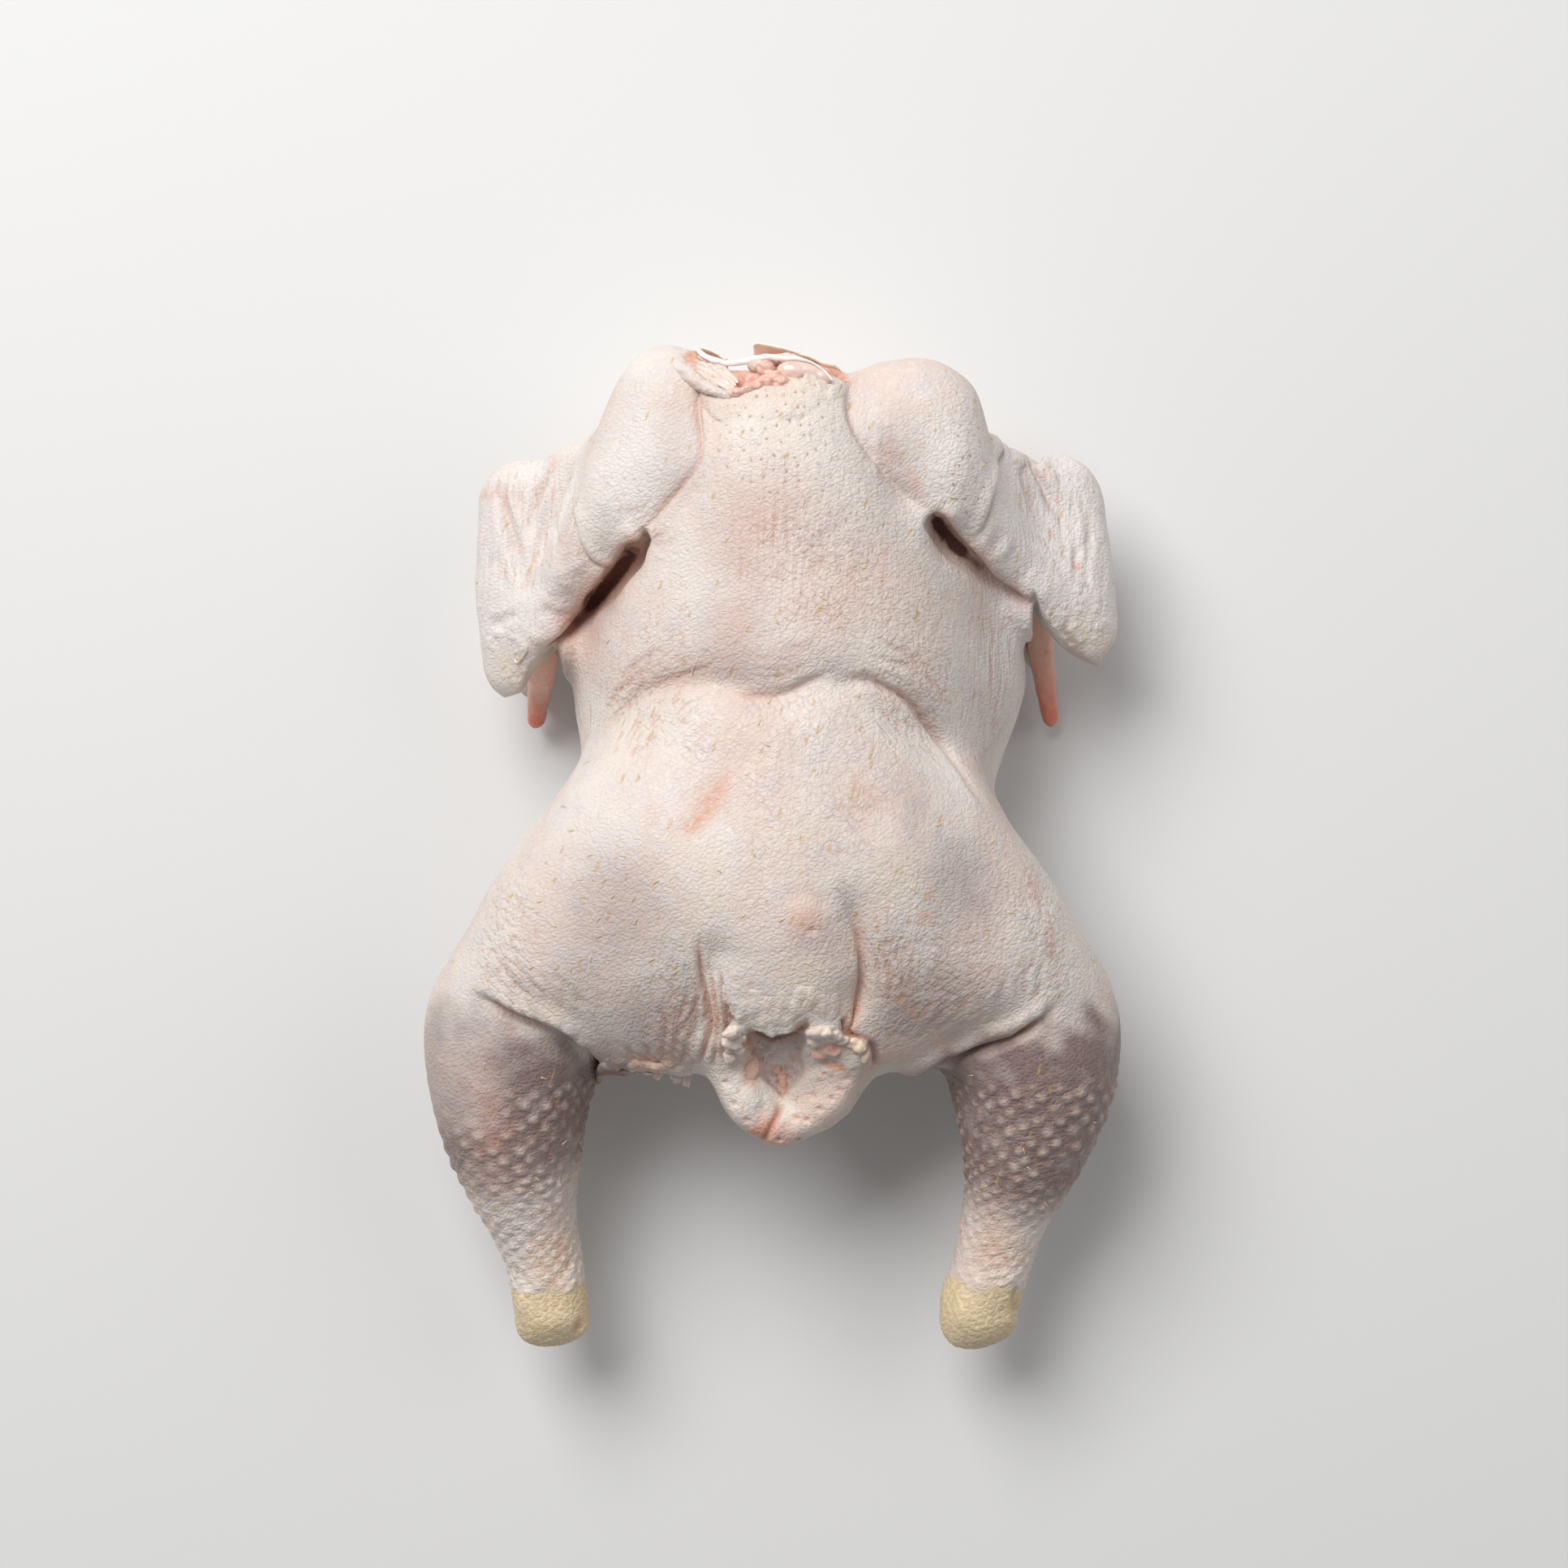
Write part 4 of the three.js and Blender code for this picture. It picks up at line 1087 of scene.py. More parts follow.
def relief_tree():
    """Raises pimples, scales, knobs and soft hills."""
    bench = Tree("goose_skin", "Skin", RELIEF)
    given, layer = bench.given, bench.layer

    def one_over(size):
        return bench.node("ShaderNodeMath", {"operation": "DIVIDE"}, {0: 1.0, 1: size})

    def cells(where, size, feature, randomness, dimensions="3D"):
        settings = {"voronoi_dimensions": dimensions, "feature": feature}
        sockets = {"Vector": where, "Scale": one_over(size), "Randomness": randomness}
        return bench.node("ShaderNodeTexVoronoi", settings, sockets, "Distance")

    def noise(where, size):
        sockets = {"Vector": where, "Scale": one_over(size), "Detail": 2.0}
        return bench.node("ShaderNodeTexNoise", {}, sockets) - 0.5

    place = bench.node("GeometryNodeInputPosition")
    flat = bench.scaled(layer("rows", "FLOAT_VECTOR"), MM)
    goose, horn, knob = layer("goose"), layer("horn"), layer("knob")
    pimple = 1 - cells(flat, given["Pimple Spacing"], "F1", 0.36, "2D").rise(0.0, 0.55)
    pimple = pimple * (noise(place, 0.016) * 2.2 + 0.75).clamped()
    scale = cells(flat, given["Scale Size"], "DISTANCE_TO_EDGE", 0.6, "2D").rise(0.02, 0.20)
    knobs = 1 - cells(place, given["Knob Size"], "F1", 0.9).rise(0.05, 0.6)
    height = pimple * goose * given["Pimple Height"] + (scale - 1) * horn * given["Scale Depth"]
    height = height + knobs * knob * given["Knob Height"]
    height = height + noise(place, given["Hill Size"]) * given["Hill Height"] * 2.0
    shift = bench.scaled(bench.node("GeometryNodeInputNormal"), height)
    kept = bench.kept(given["Skin"], "pimple", (pimple * goose).most(knobs * knob * 0.6))
    kept = bench.kept(kept, "net", (1 - scale) * horn)
    return bench.ended(bench.node("GeometryNodeSetPosition", {}, {"Geometry": kept, "Offset": shift}))


# %% [markdown]
# ## The skin's finish
#
# Chicken skin is translucent and moist. Light enters it and comes out pinker, which is subsurface scattering,
# and a thin film of water gives broken soft highlights. Its colour is never even: cream over pink over
# lavender in blotches of a few centimetres, then cells of 2 to 3 mm with a follicle in each, then fine
# wrinkles. Each size of pattern gets its own noise, and the painted layers say where each one shows.


# %% A finish under way
class Finish:
    """A material under way, with coordinates in millimetres and short names for common nodes."""

    def __init__(self, name):
        self.material = bpy.data.materials.new(name)
        self.bench = shader_bench(self.material)
        self.node = self.bench.node
        self.place = self.bench.scaled(self.node("ShaderNodeTexCoord", output="Object"), 1 / MM)
        sockets = {"Vector": self.place, "Scale": 0.25, "Detail": 1.0}
        self.bent = self.node("ShaderNodeTexNoise", {}, sockets, "Color")

    def noise(self, size, detail=2.0, where=None):
        """Soft noise, about 0.3 to 0.7, with blotches about size millimetres apart."""
        sockets = {"Vector": where or self.place, "Scale": 1 / size, "Detail": detail, "Roughness": 0.55}
        return self.node("ShaderNodeTexNoise", {}, sockets)

    def turned(self, stretch, about_y, about_z):
        """Coordinates turned, and stretched along one way. Angles are in degrees."""
        rotation = (0.0, math.radians(about_y), math.radians(about_z))
        sockets = {"Vector": self.place, "Rotation": rotation, "Scale": (stretch, 1.0, 1.0)}
        return self.node("ShaderNodeMapping", {"vector_type": "TEXTURE"}, sockets)

    def strands(self, size, angle, stretch):
        """Soft noise drawn out into strands that run one way."""
        return self.noise(size, 2.0, self.turned(stretch, 0.0, angle))

    def charts(self, angle, stretch, drift):
        """Flat coordinates seen from above and from the side, for patterns that lie in the surface."""
        for about_y, about_z in ((0.0, angle), (-90.0, 0.0)):
            bend = {0: self.bent, 1: (drift,) * 3, 2: self.turned(stretch, about_y, about_z)}
            yield self.node("ShaderNodeVectorMath", {"operation": "MULTIPLY_ADD"}, bend)

    def flat_cells(self, size, charts, feature="F1", randomness=1.0):
        """Cells that lie in the surface: those seen from above, and on steep skin those from the side."""
        settings = {"voronoi_dimensions": "2D", "feature": feature}
        above, beside = (
            self.node("ShaderNodeTexVoronoi", settings,
                      {"Vector": chart, "Scale": 1 / size, "Randomness": randomness}, "Distance")
            for chart in charts
        )
        return above + (beside - above) * self.layer("steep")

    def layer(self, name):
        return self.node("ShaderNodeAttribute", {"attribute_name": name}, output="Fac")

    def blend(self, under, over, share):
        """Mixes two colours. share is how much of the second one shows."""
        settings = {"data_type": "RGBA", "clamp_factor": True}
        return self.node("ShaderNodeMix", settings, {0: share, 6: under, 7: over}, 2)

    def blends(self, colour, layers):
        """Lays tones over a colour one by one, each with its share."""
        for over, share in layers:
            colour = self.blend(colour, tone(*over), share)
        return colour

    def close(self, colour, height, sockets):
        """Adds the tissue's shader. height is in millimetres."""
        bump = self.node("ShaderNodeBump", {}, {"Height": height, "Distance": MM, "Strength": 1.0})
        sockets = {"Base Color": colour, "Normal": bump, **sockets}
        shader = self.node("ShaderNodeBsdfPrincipled", {"subsurface_method": "BURLEY"}, sockets)
        self.node("ShaderNodeOutputMaterial", sockets={"Surface": shader})
        return self.material


def tone(red, green, blue):
    return (red, green, blue, 1.0)


# %% The skin
def skin_material():
    """Skin of many tones. The painted layers say where each tone and each pattern shows."""
    f = Finish("chicken_skin")
    pale, fat, bruise_and_shade, horn, fold, flesh, blush, scuff = map(
        f.layer, ("pale", "fat", "bruise_and_shade", "horn", "fold", "flesh", "blush", "scuff"))
    smooth, pimple, net, goose, follicle, celled = map(
        f.layer, ("smooth", "pimple", "net", "goose", "follicle", "cells"))

    broad, middle, fine, grain = f.noise(34, 1.0), f.noise(9), f.noise(2.2), f.noise(0.8, 1.0)
    slanted = list(f.charts(-38, 1.7, 2.0))
    bed = 1 - f.flat_cells(2.7, slanted, randomness=0.7).rise(0.1, 0.62)
    rim = f.flat_cells(2.7, slanted, "DISTANCE_TO_EDGE", 0.7)
    pit = f.flat_cells(4.8, f.charts(12, 0.75, 3.0), randomness=0.65)
    pores = 1 - pit.rise(0.06, 0.12)
    dimple = 1 - pit.rise(0.05, 0.42)
    streaks = 1 - f.flat_cells(6.5, f.charts(68, 3.2, 2.0), randomness=0.9).rise(0.05, 0.11)
    crackle = f.flat_cells(1.5, f.charts(20, 1.4, 1.5), "DISTANCE_TO_EDGE")
    strands = (f.strands(1.7, 88, 8.0) - 0.5) * (f.layer("strands_up") + 0.3)
    strands = strands + (f.strands(1.7, 38, 7.0) - 0.5) * (f.layer("strands_left") + 0.15)
    strands = strands + (f.strands(1.7, -42, 7.0) - 0.5) * (f.layer("strands_right") + 0.1)
    strands = strands + (f.strands(1.4, 8, 6.0) - 0.5) * goose * 0.7
    furrow_shade = (strands * -1.0).rise(0.02, 0.18)
    seam = (1 - rim.rise(0.02, 0.17)) * celled * middle.rise(0.42, 0.58)
    between = (1 - pimple.rise(0.03, 0.35)) * goose

    colour = f.blend(tone(0.815, 0.74, 0.69), tone(0.765, 0.64, 0.58), broad.rise(0.38, 0.62))
    colour = f.blends(colour, [
        ((0.73, 0.675, 0.68), middle.rise(0.45, 0.72) * 0.7),
        ((0.84, 0.775, 0.70), fine.rise(0.5, 0.75) * 0.6 * (1 - smooth * 0.5)),
        ((0.84, 0.80, 0.785), pale * 0.8),
        ((0.84, 0.735, 0.60), fat * (middle * 0.8 + 0.35)),
        # bruise: the purple-grey of thin skin, and in a few places painted shade
        ((0.27, 0.19, 0.18), bruise_and_shade * (middle * 1.1 + 0.45)),
        ((0.70, 0.37, 0.30), blush * (middle * 1.2 + 0.15)),
    ])
    pimple_top = f.blend(tone(0.62, 0.52, 0.45), tone(0.86, 0.78, 0.69), fat)
    colour = f.blend(colour, pimple_top, pimple.rise(0.1, 0.9) * 0.6)
    colour = f.blends(colour, [
        ((0.60, 0.34, 0.22), between * fat * 0.8),
        # Painted shade: the wrinkle valleys (furrow), the grooves round the cells (seam) and the crackle
        # lines are coloured darker orange-brown.
        ((0.64, 0.38, 0.27), furrow_shade * 0.5),
        ((0.85, 0.78, 0.70), bed * celled * 0.25),
        ((0.62, 0.37, 0.24), seam * 0.3),
        ((0.68, 0.48, 0.38), (1 - crackle.rise(0.0, 0.12)) * 0.16),
        ((0.72, 0.55, 0.45), dimple * follicle * 0.25),
        ((0.42, 0.28, 0.17), pores * follicle * fine.rise(0.30, 0.50) * 0.85),
        ((0.62, 0.42, 0.16), streaks * middle.rise(0.48, 0.56) * 0.6),
        ((0.72, 0.33, 0.18), scuff * fine.rise(0.32, 0.55)),
        ((0.72, 0.545, 0.31), horn * (middle * 0.6 + 0.6)),
        ((0.86, 0.76, 0.56), net * 0.7),
    ])
    raw = f.blend(tone(0.76, 0.36, 0.27), tone(0.84, 0.62, 0.50), fine.rise(0.45, 0.65))
    colour = f.blends(f.blend(colour, raw, flesh * 0.85), [
        # Painted shade: the fold layer darkens creases, slots and pits, to near black at their floors.
        ((0.48, 0.20, 0.11), fold * 0.62),
        ((0.07, 0.015, 0.01), fold.rise(0.68, 0.98) * 0.9),
    ])

    height = (middle - 0.5) * 0.4 + (fine - 0.5) * 0.32 + (grain - 0.5) * 0.13
    height = height + bed * (celled + 0.2) * 0.13 - seam * 0.07 + strands * 0.85
    height = height + crackle.rise(0.0, 0.3) * 0.10 - dimple * follicle * 0.12
    height = height - pores * follicle * 0.1 + pimple * 0.1 - streaks * 0.05
    wet = middle.rise(0.4, 0.65)
    film = wet * 0.07 + fine.rise(0.56, 0.7) * 0.14 + flesh * 0.3 + 0.02
    return f.close(colour, height, {
        "Subsurface Weight": 0.25, "Subsurface Radius": (1.0, 0.42, 0.26), "Subsurface Scale": 0.0022,
        "Coat Roughness": 0.22, "Specular IOR Level": 0.40, "Coat Weight": film * (1 - fold),
        "Roughness": 0.54 - wet * 0.10 + grain * 0.10 - flesh * 0.12 + fold * 0.3,
    })


skin_finish = skin_material()
print("nodes in the skin's finish:", len(skin_finish.node_tree.nodes))

# %% [markdown]
# ## From clay to skin
#
# The relief tree now runs once, as a modifier whose result becomes the mesh. The clay has more points than
# smooth places need. Decimate keeps them where the shape is busy and drops them elsewhere, and it carries the
# paint layers along.

# %% The finished skin
SKIN_TRIANGLES = 194_000


def finish_piece(piece):
    """Shades a piece smoothly and says what it is a part of."""
    piece.data.shade_smooth()
    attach(piece, "root")
    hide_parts("chicken")


run_tree(skin, relief_tree(), skin_finish)
for name in ("knob", "rows"):
    skin.data.attributes.remove(skin.data.attributes[name])
lighter = skin.modifiers.new("lighter", "DECIMATE")
lighter.ratio = SKIN_TRIANGLES / (2 * len(skin.data.polygons))
applied(skin)
finish_piece(skin)
print("skin triangles:", sum(len(p.vertices) - 2 for p in skin.data.polygons))
print("kept layers:", [a.name for a in skin.data.attributes if not a.is_internal])

# %% [markdown]
# ## Pieces beside the skin
#
# Where the bird was cut, other tissues show: the ragged edge of the skin itself, muscle, clear white sinew,
# cream fat and thin wet membrane. They are separate things on a real bird too, so each is a piece of its own,
# laid on the finished skin. Three builders make them all. `sheet` spans a few lines with a thin skin that has
# two sides and a torn edge. `strand` runs a tube along a line. `lumps` melts ovals together, as fat is.

# %% Places on the finished skin
RUMP_HEIGHT = 76
RIM_STEP = 0.4
skin_places = numbers_of(skin.data.vertices, "co") / MM
skin_tree = BVHTree.FromPolygons(skin_places.tolist(), [tuple(p.vertices) for p in skin.data.polygons])
nearest_places = KDTree(len(skin_places))
for number, place in enumerate(skin_places):
    nearest_places.insert(place, number)
nearest_places.balance()


def seen_at(x, y):
    """What is seen of the skin from above at (x, y), or None beside the bird."""
    return skin_tree.ray_cast((x, y, ABOVE), (0, 0, -1))[0]


def on(x, y, up=0.0):
    """A place over the skin at (x, y). Beside the bird it is level with the nearest skin."""
    hit = seen_at(x, y) or skin_tree.find_nearest((x, y, RUMP_HEIGHT))[0]
    return (x, y, hit.z + up)


def rim(x, y):
    """The outermost place of the skin at x, seen from above, searched from y away from the neck."""
    while seen_at(x, y - RIM_STEP):
        y -= RIM_STEP
    return np.array(on(x, y))


def painted_like_skin(piece, shift):
    """Gives a piece the paint layers of the skin that lies shift away from each of its points."""
    nearest = [nearest_places.find(vert.co / MM + Vector(shift))[1] for vert in piece.data.vertices]
    for layer in skin.data.attributes:
        if layer.data_type == "FLOAT" and layer.domain == "POINT" and not layer.is_internal:
            store(piece, layer.name, numbers_of(layer.data, "value", 1)[nearest].ravel())


# %% A tissue's finish
def tissue(name, deep, main, light, blotch, film, relief=0.15, tinted=None, clear=False):
    """Wet tissue in three tones with blotches of that size. tinted is the tone at a piece's tinted end."""
    f = Finish(name)
    broad, fine = f.noise(blotch, 3.0), f.noise(blotch / 4, 3.0)
    colour = f.blends(tone(*main), [(deep, broad.rise(0.5, 0.68)), (light, fine.rise(0.5, 0.7) * 0.8)])
    if tinted:
        colour = f.blends(colour, [(tinted, f.layer("tinted") * (fine + 0.5))])
    height = (broad - 0.5) * relief * 3 + (fine - 0.5) * relief + (f.noise(0.7) - 0.5) * 0.05
    sockets = {
        "Subsurface Weight": 0.3, "Subsurface Radius": (1.0, 0.4, 0.25), "Subsurface Scale": 0.0015,
        "Coat Roughness": 0.12, "Specular IOR Level": 0.45, "Coat Weight": fine * film + film * 0.5,
        "Roughness": 0.42 - fine * 0.15,
    }
    if clear:
        sockets["Alpha"] = (1.0 + (fine - 0.5) * 0.8 + f.layer("tinted") * 0.3).clamped()
    return f.close(colour, height, sockets)


muscle = tissue("raw_muscle", (0.84, 0.54, 0.46), (0.86, 0.63, 0.56), (0.90, 0.74, 0.68), 6.0, 0.5, 0.06)
flesh = tissue("raw_flesh", (0.78, 0.36, 0.28), (0.84, 0.52, 0.43), (0.90, 0.74, 0.66), 3.0, 0.5)
fat = tissue("raw_fat", (0.74, 0.53, 0.42), (0.79, 0.67, 0.59), (0.84, 0.78, 0.72), 3.0, 0.06)
sinew = tissue("sinew", (0.82, 0.74, 0.68), (0.87, 0.83, 0.80), (0.92, 0.90, 0.88), 5.0, 0.25, 0.05)
torn_skin = tissue("torn_skin", (0.80, 0.66, 0.56), (0.83, 0.73, 0.66), (0.88, 0.81, 0.76), 4.0, 0.2, 0.2,
                   tinted=(0.86, 0.74, 0.62))
flap_skin = tissue("flap_skin", (0.82, 0.56, 0.36), (0.86, 0.68, 0.52), (0.90, 0.80, 0.70), 7.0, 0.3, 0.08,
                   tinted=(0.88, 0.80, 0.72))
membrane = tissue("membrane", (0.76, 0.55, 0.46), (0.82, 0.68, 0.61), (0.88, 0.81, 0.77), 4.0, 0.3, 0.2,
                  clear=True)
tip_skin = tissue("wing_tip_skin", (0.91, 0.44, 0.33), (0.94, 0.56, 0.43), (0.94, 0.70, 0.59), 7.0, 0.2,
                  0.12, tinted=(0.78, 0.24, 0.17))


# %% The builders
SHEET_STEPS = 60  # places along a sheet's line, from which its rows are taken
LUMP_GRAIN = 0.5  # the size of a voxel in millimetres


def mesh_piece(name, places, faces, finish, tinted=None):
    """A piece from points in millimetres and faces, welded. It is rounded too where it has a tint."""
    mesh = bpy.data.meshes.new(name)
    mesh.from_pydata((np.asarray(places) * MM).tolist(), [], faces)
    piece = linked(name, mesh)
    if tinted is not None:
        store(piece, "tinted", tinted)
    weld = bmesh.new()
    weld.from_mesh(mesh)
    bmesh.ops.remove_doubles(weld, verts=weld.verts, dist=1e-6)
    bmesh.ops.dissolve_degenerate(weld, edges=weld.edges, dist=1e-7)
    bmesh.ops.recalc_face_normals(weld, faces=weld.faces)
    weld.to_mesh(mesh)
    weld.free()
    mesh.materials.append(finish)
    if tinted is not None:
        subdivided(piece, 1)
    finish_piece(piece)
    return piece


def sheet(name, lines, thick, finish, columns, rows, ragged, rough, seed):
    """A two-sided skin over lines of places: the first line is its root, the last its torn free edge."""
    nets = np.array([even_line(line, columns) for line in lines])
    shares = (1 - np.cos(np.linspace(0, math.pi, rows))) / 2  # closer together towards both ends
    steps = (shares * (SHEET_STEPS - 1)).round().astype(int)
    grid = np.array([even_line(nets[:, column], SHEET_STEPS)[steps] for column in range(columns)])
    draw = np.random.default_rng(seed)
    tears = np.convolve(draw.normal(0, 1, columns + 4), [0.25, 0.5, 0.25], "valid")[:columns]
    outward = grid[:, -1] - grid[:, -3]
    outward /= np.maximum(np.linalg.norm(outward, axis=1), 1e-6)[:, None]
    grid += ragged * tears[:, None, None] * outward[:, None, :] * (shares**3)[None, :, None]
    across, along = np.gradient(grid, axis=0), np.gradient(grid, axis=1)
    out = np.cross(across, along)
    out /= np.maximum(np.linalg.norm(out, axis=2), 1e-9)[..., None]
    if out[..., 2].mean() < 0:
        out = -out
    bumpy = hills(grid.reshape(-1, 3), 4.0, seed).reshape(columns, rows)
    blunt = np.sqrt(np.clip(1 - (2 * shares - 1) ** 8, 0, 1))
    body = blunt[None, :] * np.sqrt(np.clip(1 - np.linspace(-1, 1, columns) ** 16, 0, 1))[:, None]
    top = grid + out * ((thick / 2 + rough * bumpy) * body)[..., None]
    under = grid - out * ((thick / 2 - rough * bumpy) * body)[..., None]
    places = np.vstack([top.reshape(-1, 3), under.reshape(-1, 3)])
    faces = []
    for column in range(columns - 1):
        for row in range(rows - 1):
            a = column * rows + row
            faces.append((a, a + 1, a + rows + 1, a + rows))
            faces.append(tuple(columns * rows + i for i in (a, a + rows, a + rows + 1, a + 1)))
    return mesh_piece(name, places, faces, finish, np.tile(shares**2, 2 * columns))


def strand(name, places, radii, finish, flat=1.0, sides=12, rough=0.0, seed=1, step=1.0, tint_from=0.6):
    """A tube along the places. flat squashes it from above, and tint_from is where its tint starts."""
    line = smooth_line(places, step)
    spread = np.concatenate([[0], np.cumsum(np.linalg.norm(np.diff(line, axis=0), axis=1))])
    share = spread / spread[-1]
    size = np.interp(share, np.linspace(0, 1, len(radii)), radii)
    ahead = np.gradient(line, axis=0)
    ahead /= np.linalg.norm(ahead, axis=1)[:, None]
    side = np.cross(ahead, (0.0, 0.0, 1.0))
    side /= np.maximum(np.linalg.norm(side, axis=1), 1e-6)[:, None]
    up = np.cross(side, ahead)
    ends = np.minimum(spread, spread[-1] - spread)
    size = size * np.sqrt(np.clip(1 - (1 - np.clip(ends / size, 0, 1)) ** 2, 0.02, 1))
    turns = np.linspace(0, 2 * math.pi, sides, endpoint=False)
    cos, sin = np.cos(turns)[None, :, None], (np.sin(turns) * flat)[None, :, None]
    ring = side[:, None] * cos + up[:, None] * sin
    places = (line[:, None] + ring * size[:, None, None]).reshape(-1, 3)
    bumpy = rough * hills(places, 3.0, seed)
    places = places + (places - np.repeat(line, sides, axis=0)) * bumpy[:, None]
    last = (len(line) - 1) * sides
    faces = [(i + j, i + (j + 1) % sides, i + sides + (j + 1) % sides, i + sides + j)
             for i in range(0, last, sides) for j in range(sides)]
    faces += [tuple(range(sides)), tuple(range(last, last + sides))]
    tinted = np.repeat(share_between(share, tint_from, 1.0), sides)
    return mesh_piece(name, places, faces, finish, tinted)


def lumps(name, ovals, finish, rough, seed, smoothing=4):
    """Ovals (x, y, z, three radii and a turn in degrees) melted into one soft mass."""
    work = bmesh.new()
    for x, y, z, wide, long, high, *turn in ovals:
        angle = math.radians(turn[0]) if turn else 0.0
        cos, sin = math.cos(angle), math.sin(angle)
        for vert in bmesh.ops.create_icosphere(work, subdivisions=3, radius=1.0)["verts"]:
            a, b, c = vert.co.x * wide, vert.co.y * long, vert.co.z * high
            vert.co = (x + a * cos - b * sin, y + a * sin + b * cos, z + c)
    mesh = bpy.data.meshes.new(name)
    work.to_mesh(mesh)
    work.free()
    mass = linked(name, mesh)
    melt = mass.modifiers.new("melt", "REMESH")
    melt.mode = "VOXEL"
    melt.voxel_size = LUMP_GRAIN
    mass.modifiers.new("soften", "SMOOTH").iterations = smoothing
    applied(mass)
    places = numbers_of(mass.data.vertices, "co")
    bumpy = hills(places, 2.6, seed) * rough + hills(places, 1.2, seed + 1) * rough * 0.3
    places = places + numbers_of(mass.data.vertex_normals, "vector") * bumpy[:, None]
    faces = [tuple(p.vertices) for p in mass.data.polygons]
    bpy.data.objects.remove(mass)
    return mesh_piece(name, places, faces, finish)


def laid(ovals):
    """Ovals for lumps whose third number is a height over the skin."""
    return [(*on(*oval[:3]), *oval[3:]) for oval in ovals]


# %% [markdown]
# ## The neck
#
# The skin of the back ends in a ragged edge over the cut. Under it lie the neck muscles, a little torn fat,
# one broad white sinew that runs across, and the loose skin of the breast, which stands up behind the sinew.

# %% Skin edge, muscle and sinew at the neck
NECK_EDGE = [(-23.5, 147.5), (-21.7, 145.6), (-18.4, 144.8), (-14.5, 142.5), (-11.1, 142.4), (-8.6, 143.4),
             (-5.9, 145), (-2.6, 145), (0.7, 144), (3.2, 142.6), (4.2, 145.3), (5.2, 148), (8.6, 148.6),
             (10.6, 150.2), (14.2, 150.2), (17.2, 147.9), (19, 146.8), (21.8, 147.8)]
DROP_FROM = 146  # beyond this place the skin's edge sinks over the cut
root = [on(x, y, -1.2) for x, y in [(-21, 137), (-12, 133), (0, 133), (10, 134), (20, 137)]]
middle = [on(x, y, up) for x, y, up in [(-22.4, 141, -0.5), (-12, 138, -0.1), (0, 138, -0.1), (10, 140, 0),
                                        (20.8, 143, -0.3)]]
edge = []
for x, y in NECK_EDGE:
    sunk_to = on(x, min(y, DROP_FROM))[2] - max(y - DROP_FROM, 0) * 0.5
    edge.append((x, y, max(sunk_to, on(x, y)[2]) + 0.35))
neck_skin_edge = sheet("neck_skin_edge", [root, middle, edge], 1.3, skin_finish, columns=90, rows=12,
                       ragged=0.5, rough=0.2, seed=51)
painted_like_skin(neck_skin_edge, (0, -7, 0))
lumps("neck_muscle", [(6.5, 151.4, 97.5, 5.4, 3.6, 3.6), (11.5, 151.3, 97.6, 4.8, 3.1, 3.2, -20),
                      (15.6, 149.6, 98.2, 3.4, 2.2, 2.6, -40)], muscle, 0.08, seed=61, smoothing=10)
lumps("neck_lumps", [(-2.2, 152.3, 97.2, 2.8, 2.6, 2.8), (0.2, 149.2, 99.6, 2.6, 2.2, 2.4),
                     (2.6, 147.4, 101.2, 2.3, 1.9, 2.2), (-1.4, 147.6, 101.0, 2.6, 1.5, 2.0, 20),
                     (-4.6, 146.8, 101.6, 2.8, 1.4, 1.9, 25), (-7.8, 145.6, 102.0, 2.8, 1.5, 1.9, 25),
                     (-11.2, 144.2, 102.2, 2.6, 1.5, 1.7, 25)], flesh, 0.3, seed=62)
lumps("neck_fat", [(-5.0, 153.6, 94.6, 3.4, 2.2, 2.6), (4, 156, 91, 6.0, 1.8, 3.0)], fat, 0.25, seed=63)
strand("neck_sinew", [(-24.6, 160.4, 87), (-23.2, 158.6, 89), (-21.2, 157, 90.6), (-18.4, 155.6, 92.2),
                      (-15, 154.5, 94), (-11.6, 154.4, 95), (-8.2, 154.8, 95.6), (-5.2, 155.5, 96),
                      (-1.8, 156.1, 96.8), (1.2, 155.6, 98), (4, 155.2, 99), (7.8, 155, 100),
                      (11.2, 154.2, 100.2), (14.2, 152.6, 100.2), (16.8, 150.4, 100.4), (18.8, 147.8, 101)],
       [0.6, 0.9, 1.0, 1.0, 1.0, 1.15, 1.15, 1.0, 0.9, 0.75, 0.5, 0.4, 0.35, 0.35], sinew, flat=0.6,
       rough=0.12, seed=64, step=0.8)

# %% Loose skin in front of the neck
PLEAT = np.array([(-27, 153.6, 89.6), (-20, 149.4, 95.2), (-12.4, 144.8, 100.2)])
for number in range(4):
    pleat = PLEAT + np.array([(1.0, 1.3, -0.7), (1.1, 1.4, -0.8), (0.5, 0.9, -0.5)]) * number
    strand(f"neck_pleat_{number + 1}", pleat, [0.5, 1.2, 1.0, 0.6], membrane, 0.5, 10, 0.25, 65 + number,
           0.8)
roll = strand("neck_skin_roll", [(-36, 156.5, 86.4), (-31, 154.4, 90.4), (-26.5, 150.8, 93.8),
                                 (-23, 147.6, 96.6), (-19, 145.4, 99.2), (-13, 142.6, 102)],
              [1.0, 2.2, 2.6, 2.4, 1.9, 1.0], skin_finish, rough=0.14, seed=67)
painted_like_skin(roll, (0, -6, 0))
FLAP_ROOT = [(-6, 156, 72), (4, 155.5, 76), (12, 153.5, 80), (20, 151, 84), (24, 150, 86)]
FLAP_MIDDLE = [(-6.4, 160.4, 76), (3, 158.8, 79.5), (11, 156.2, 82.5), (17, 154, 86), (22, 152.4, 88)]
